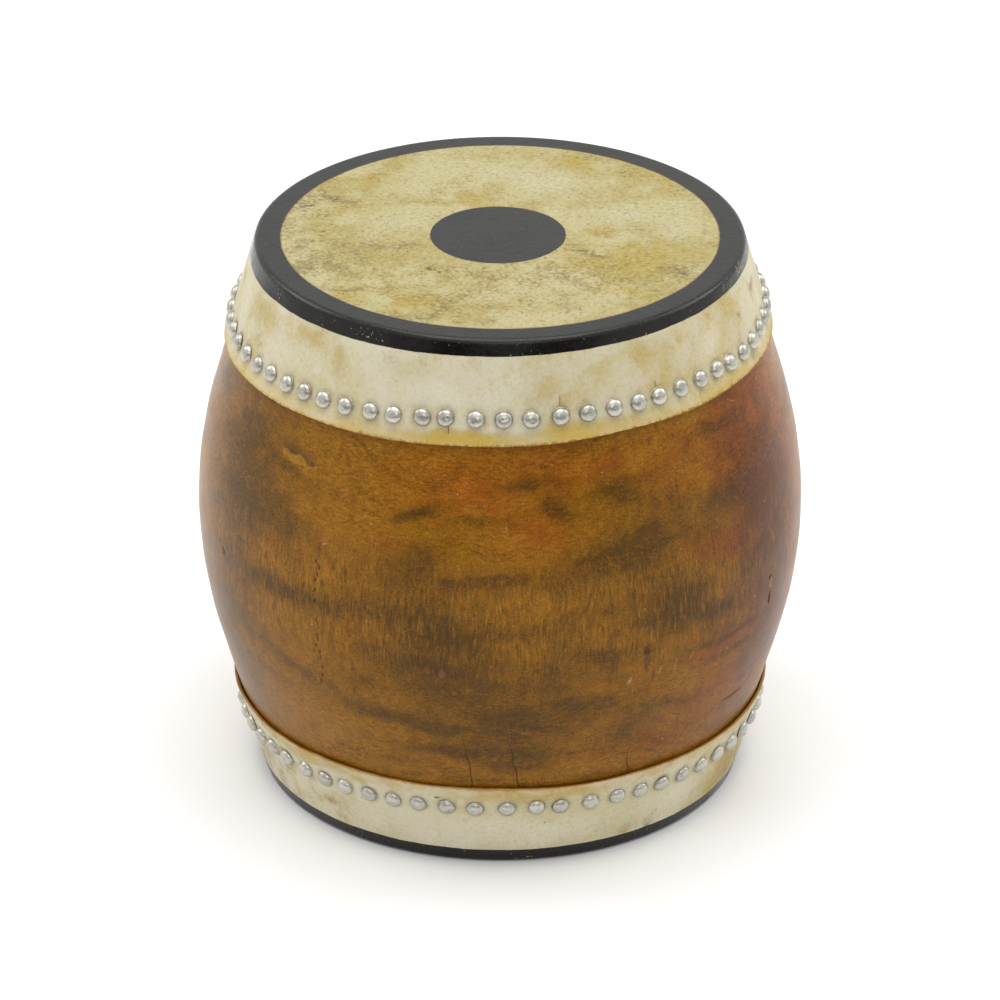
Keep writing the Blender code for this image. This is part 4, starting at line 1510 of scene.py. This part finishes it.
def area_light(name, place, size, power, aim=(0.0, 0.0, 0.18)):
    """A square soft light that looks at a point of the drum."""
    data = bpy.data.lights.new(name, "AREA")
    data.shape = "SQUARE"
    data.size = size
    data.energy = power
    light = bpy.data.objects.new(name, data)
    light.location = place
    light.rotation_mode = "QUATERNION"
    light.rotation_quaternion = (Vector(aim) - Vector(place)).to_track_quat("-Z", "Y")
    bpy.context.scene.collection.objects.link(light)


STUDIO_BRIGHTNESS = 0.84
STUDIO_FRONT_BRIGHTNESS = 0.10


def world_ramp(tree, value, start, stop):
    """A smooth step from 0 where value is start to 1 where it is stop."""
    made = tree.nodes.new("ShaderNodeMapRange")
    made.interpolation_type = "SMOOTHSTEP"
    made.inputs["From Min"].default_value = min(start, stop)
    made.inputs["From Max"].default_value = max(start, stop)
    made.inputs["To Min"].default_value = 1.0 if start > stop else 0.0
    made.inputs["To Max"].default_value = 0.0 if start > stop else 1.0
    tree.links.new(value, made.inputs["Value"])
    return made.outputs["Result"]


def build_lights():
    """A light tent: bright above, behind and at both sides, with a dark gap low at the front."""
    world = bpy.data.worlds.new("studio")
    bpy.context.scene.world = world
    world.use_nodes = True
    tree = world.node_tree
    background = tree.nodes["Background"]
    background.inputs["Color"].default_value = (1.0, 1.0, 1.0, 1.0)
    coordinates = tree.nodes.new("ShaderNodeTexCoord")
    split = tree.nodes.new("ShaderNodeSeparateXYZ")
    tree.links.new(coordinates.outputs["Generated"], split.inputs[0])
    front = world_ramp(tree, split.outputs["Y"], -0.50, -0.88)
    low = world_ramp(tree, split.outputs["Z"], 0.42, 0.12)
    dim = tree.nodes.new("ShaderNodeMath")
    dim.operation = "MULTIPLY"
    tree.links.new(front, dim.inputs[0])
    tree.links.new(low, dim.inputs[1])
    strength = tree.nodes.new("ShaderNodeMapRange")
    strength.inputs["To Min"].default_value = STUDIO_BRIGHTNESS
    strength.inputs["To Max"].default_value = STUDIO_FRONT_BRIGHTNESS
    tree.links.new(dim.outputs[0], strength.inputs["Value"])
    tree.links.new(strength.outputs["Result"], background.inputs["Strength"])
    area_light("top_softbox", (0.0, -0.1, 1.9), 1.5, 16.0)
    area_light("front_softbox", (0.25, -2.7, 1.9), 1.0, 7.0)
    area_light("left_softbox", (-1.5, 0.5, 1.3), 1.0, 7.0, (-0.5, 0.3, 0.0))
    area_light("right_softbox", (1.5, 0.5, 1.3), 1.0, 7.0, (0.5, 0.3, 0.0))


# ---------------------------------------------------------------------------------------------
# The drum
# ---------------------------------------------------------------------------------------------


def main():
    """Build every piece round the frame."""
    scene = bpy.context.scene
    scene.view_settings.view_transform = "Standard"
    build_camera()
    build_lights()
    build_floor()

    shell = build_shell(wood_material())
    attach(shell, "root")
    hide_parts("shell")

    build_head(
        "hide_top", "drumhead_top", 1, TOP_ROW, TOP_ROW_DEPTH, TOP_SKIRT_DEPTH, TOP_SLANT, 31,
        hide_material("rawhide_top", 1),
    )
    build_head(
        "hide_bottom", "drumhead_bottom", -1, BOTTOM_ROW, BOTTOM_ROW_DEPTH, BOTTOM_SKIRT_EDGE, 0.0,
        47, hide_material("rawhide_bottom", -1),
    )
    metal = tack_material()
    top_tacks = build_tacks("tacks_top", TOP_ROW, 1, 71, metal)
    bottom_tacks = build_tacks("tacks_bottom", BOTTOM_ROW, -1, 72, metal)
    nodes = sorted(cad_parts)
    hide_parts(*[node for node in nodes if node.startswith("tack_top_")])
    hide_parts(*[node for node in nodes if node.startswith("tack_bottom_")])


main()
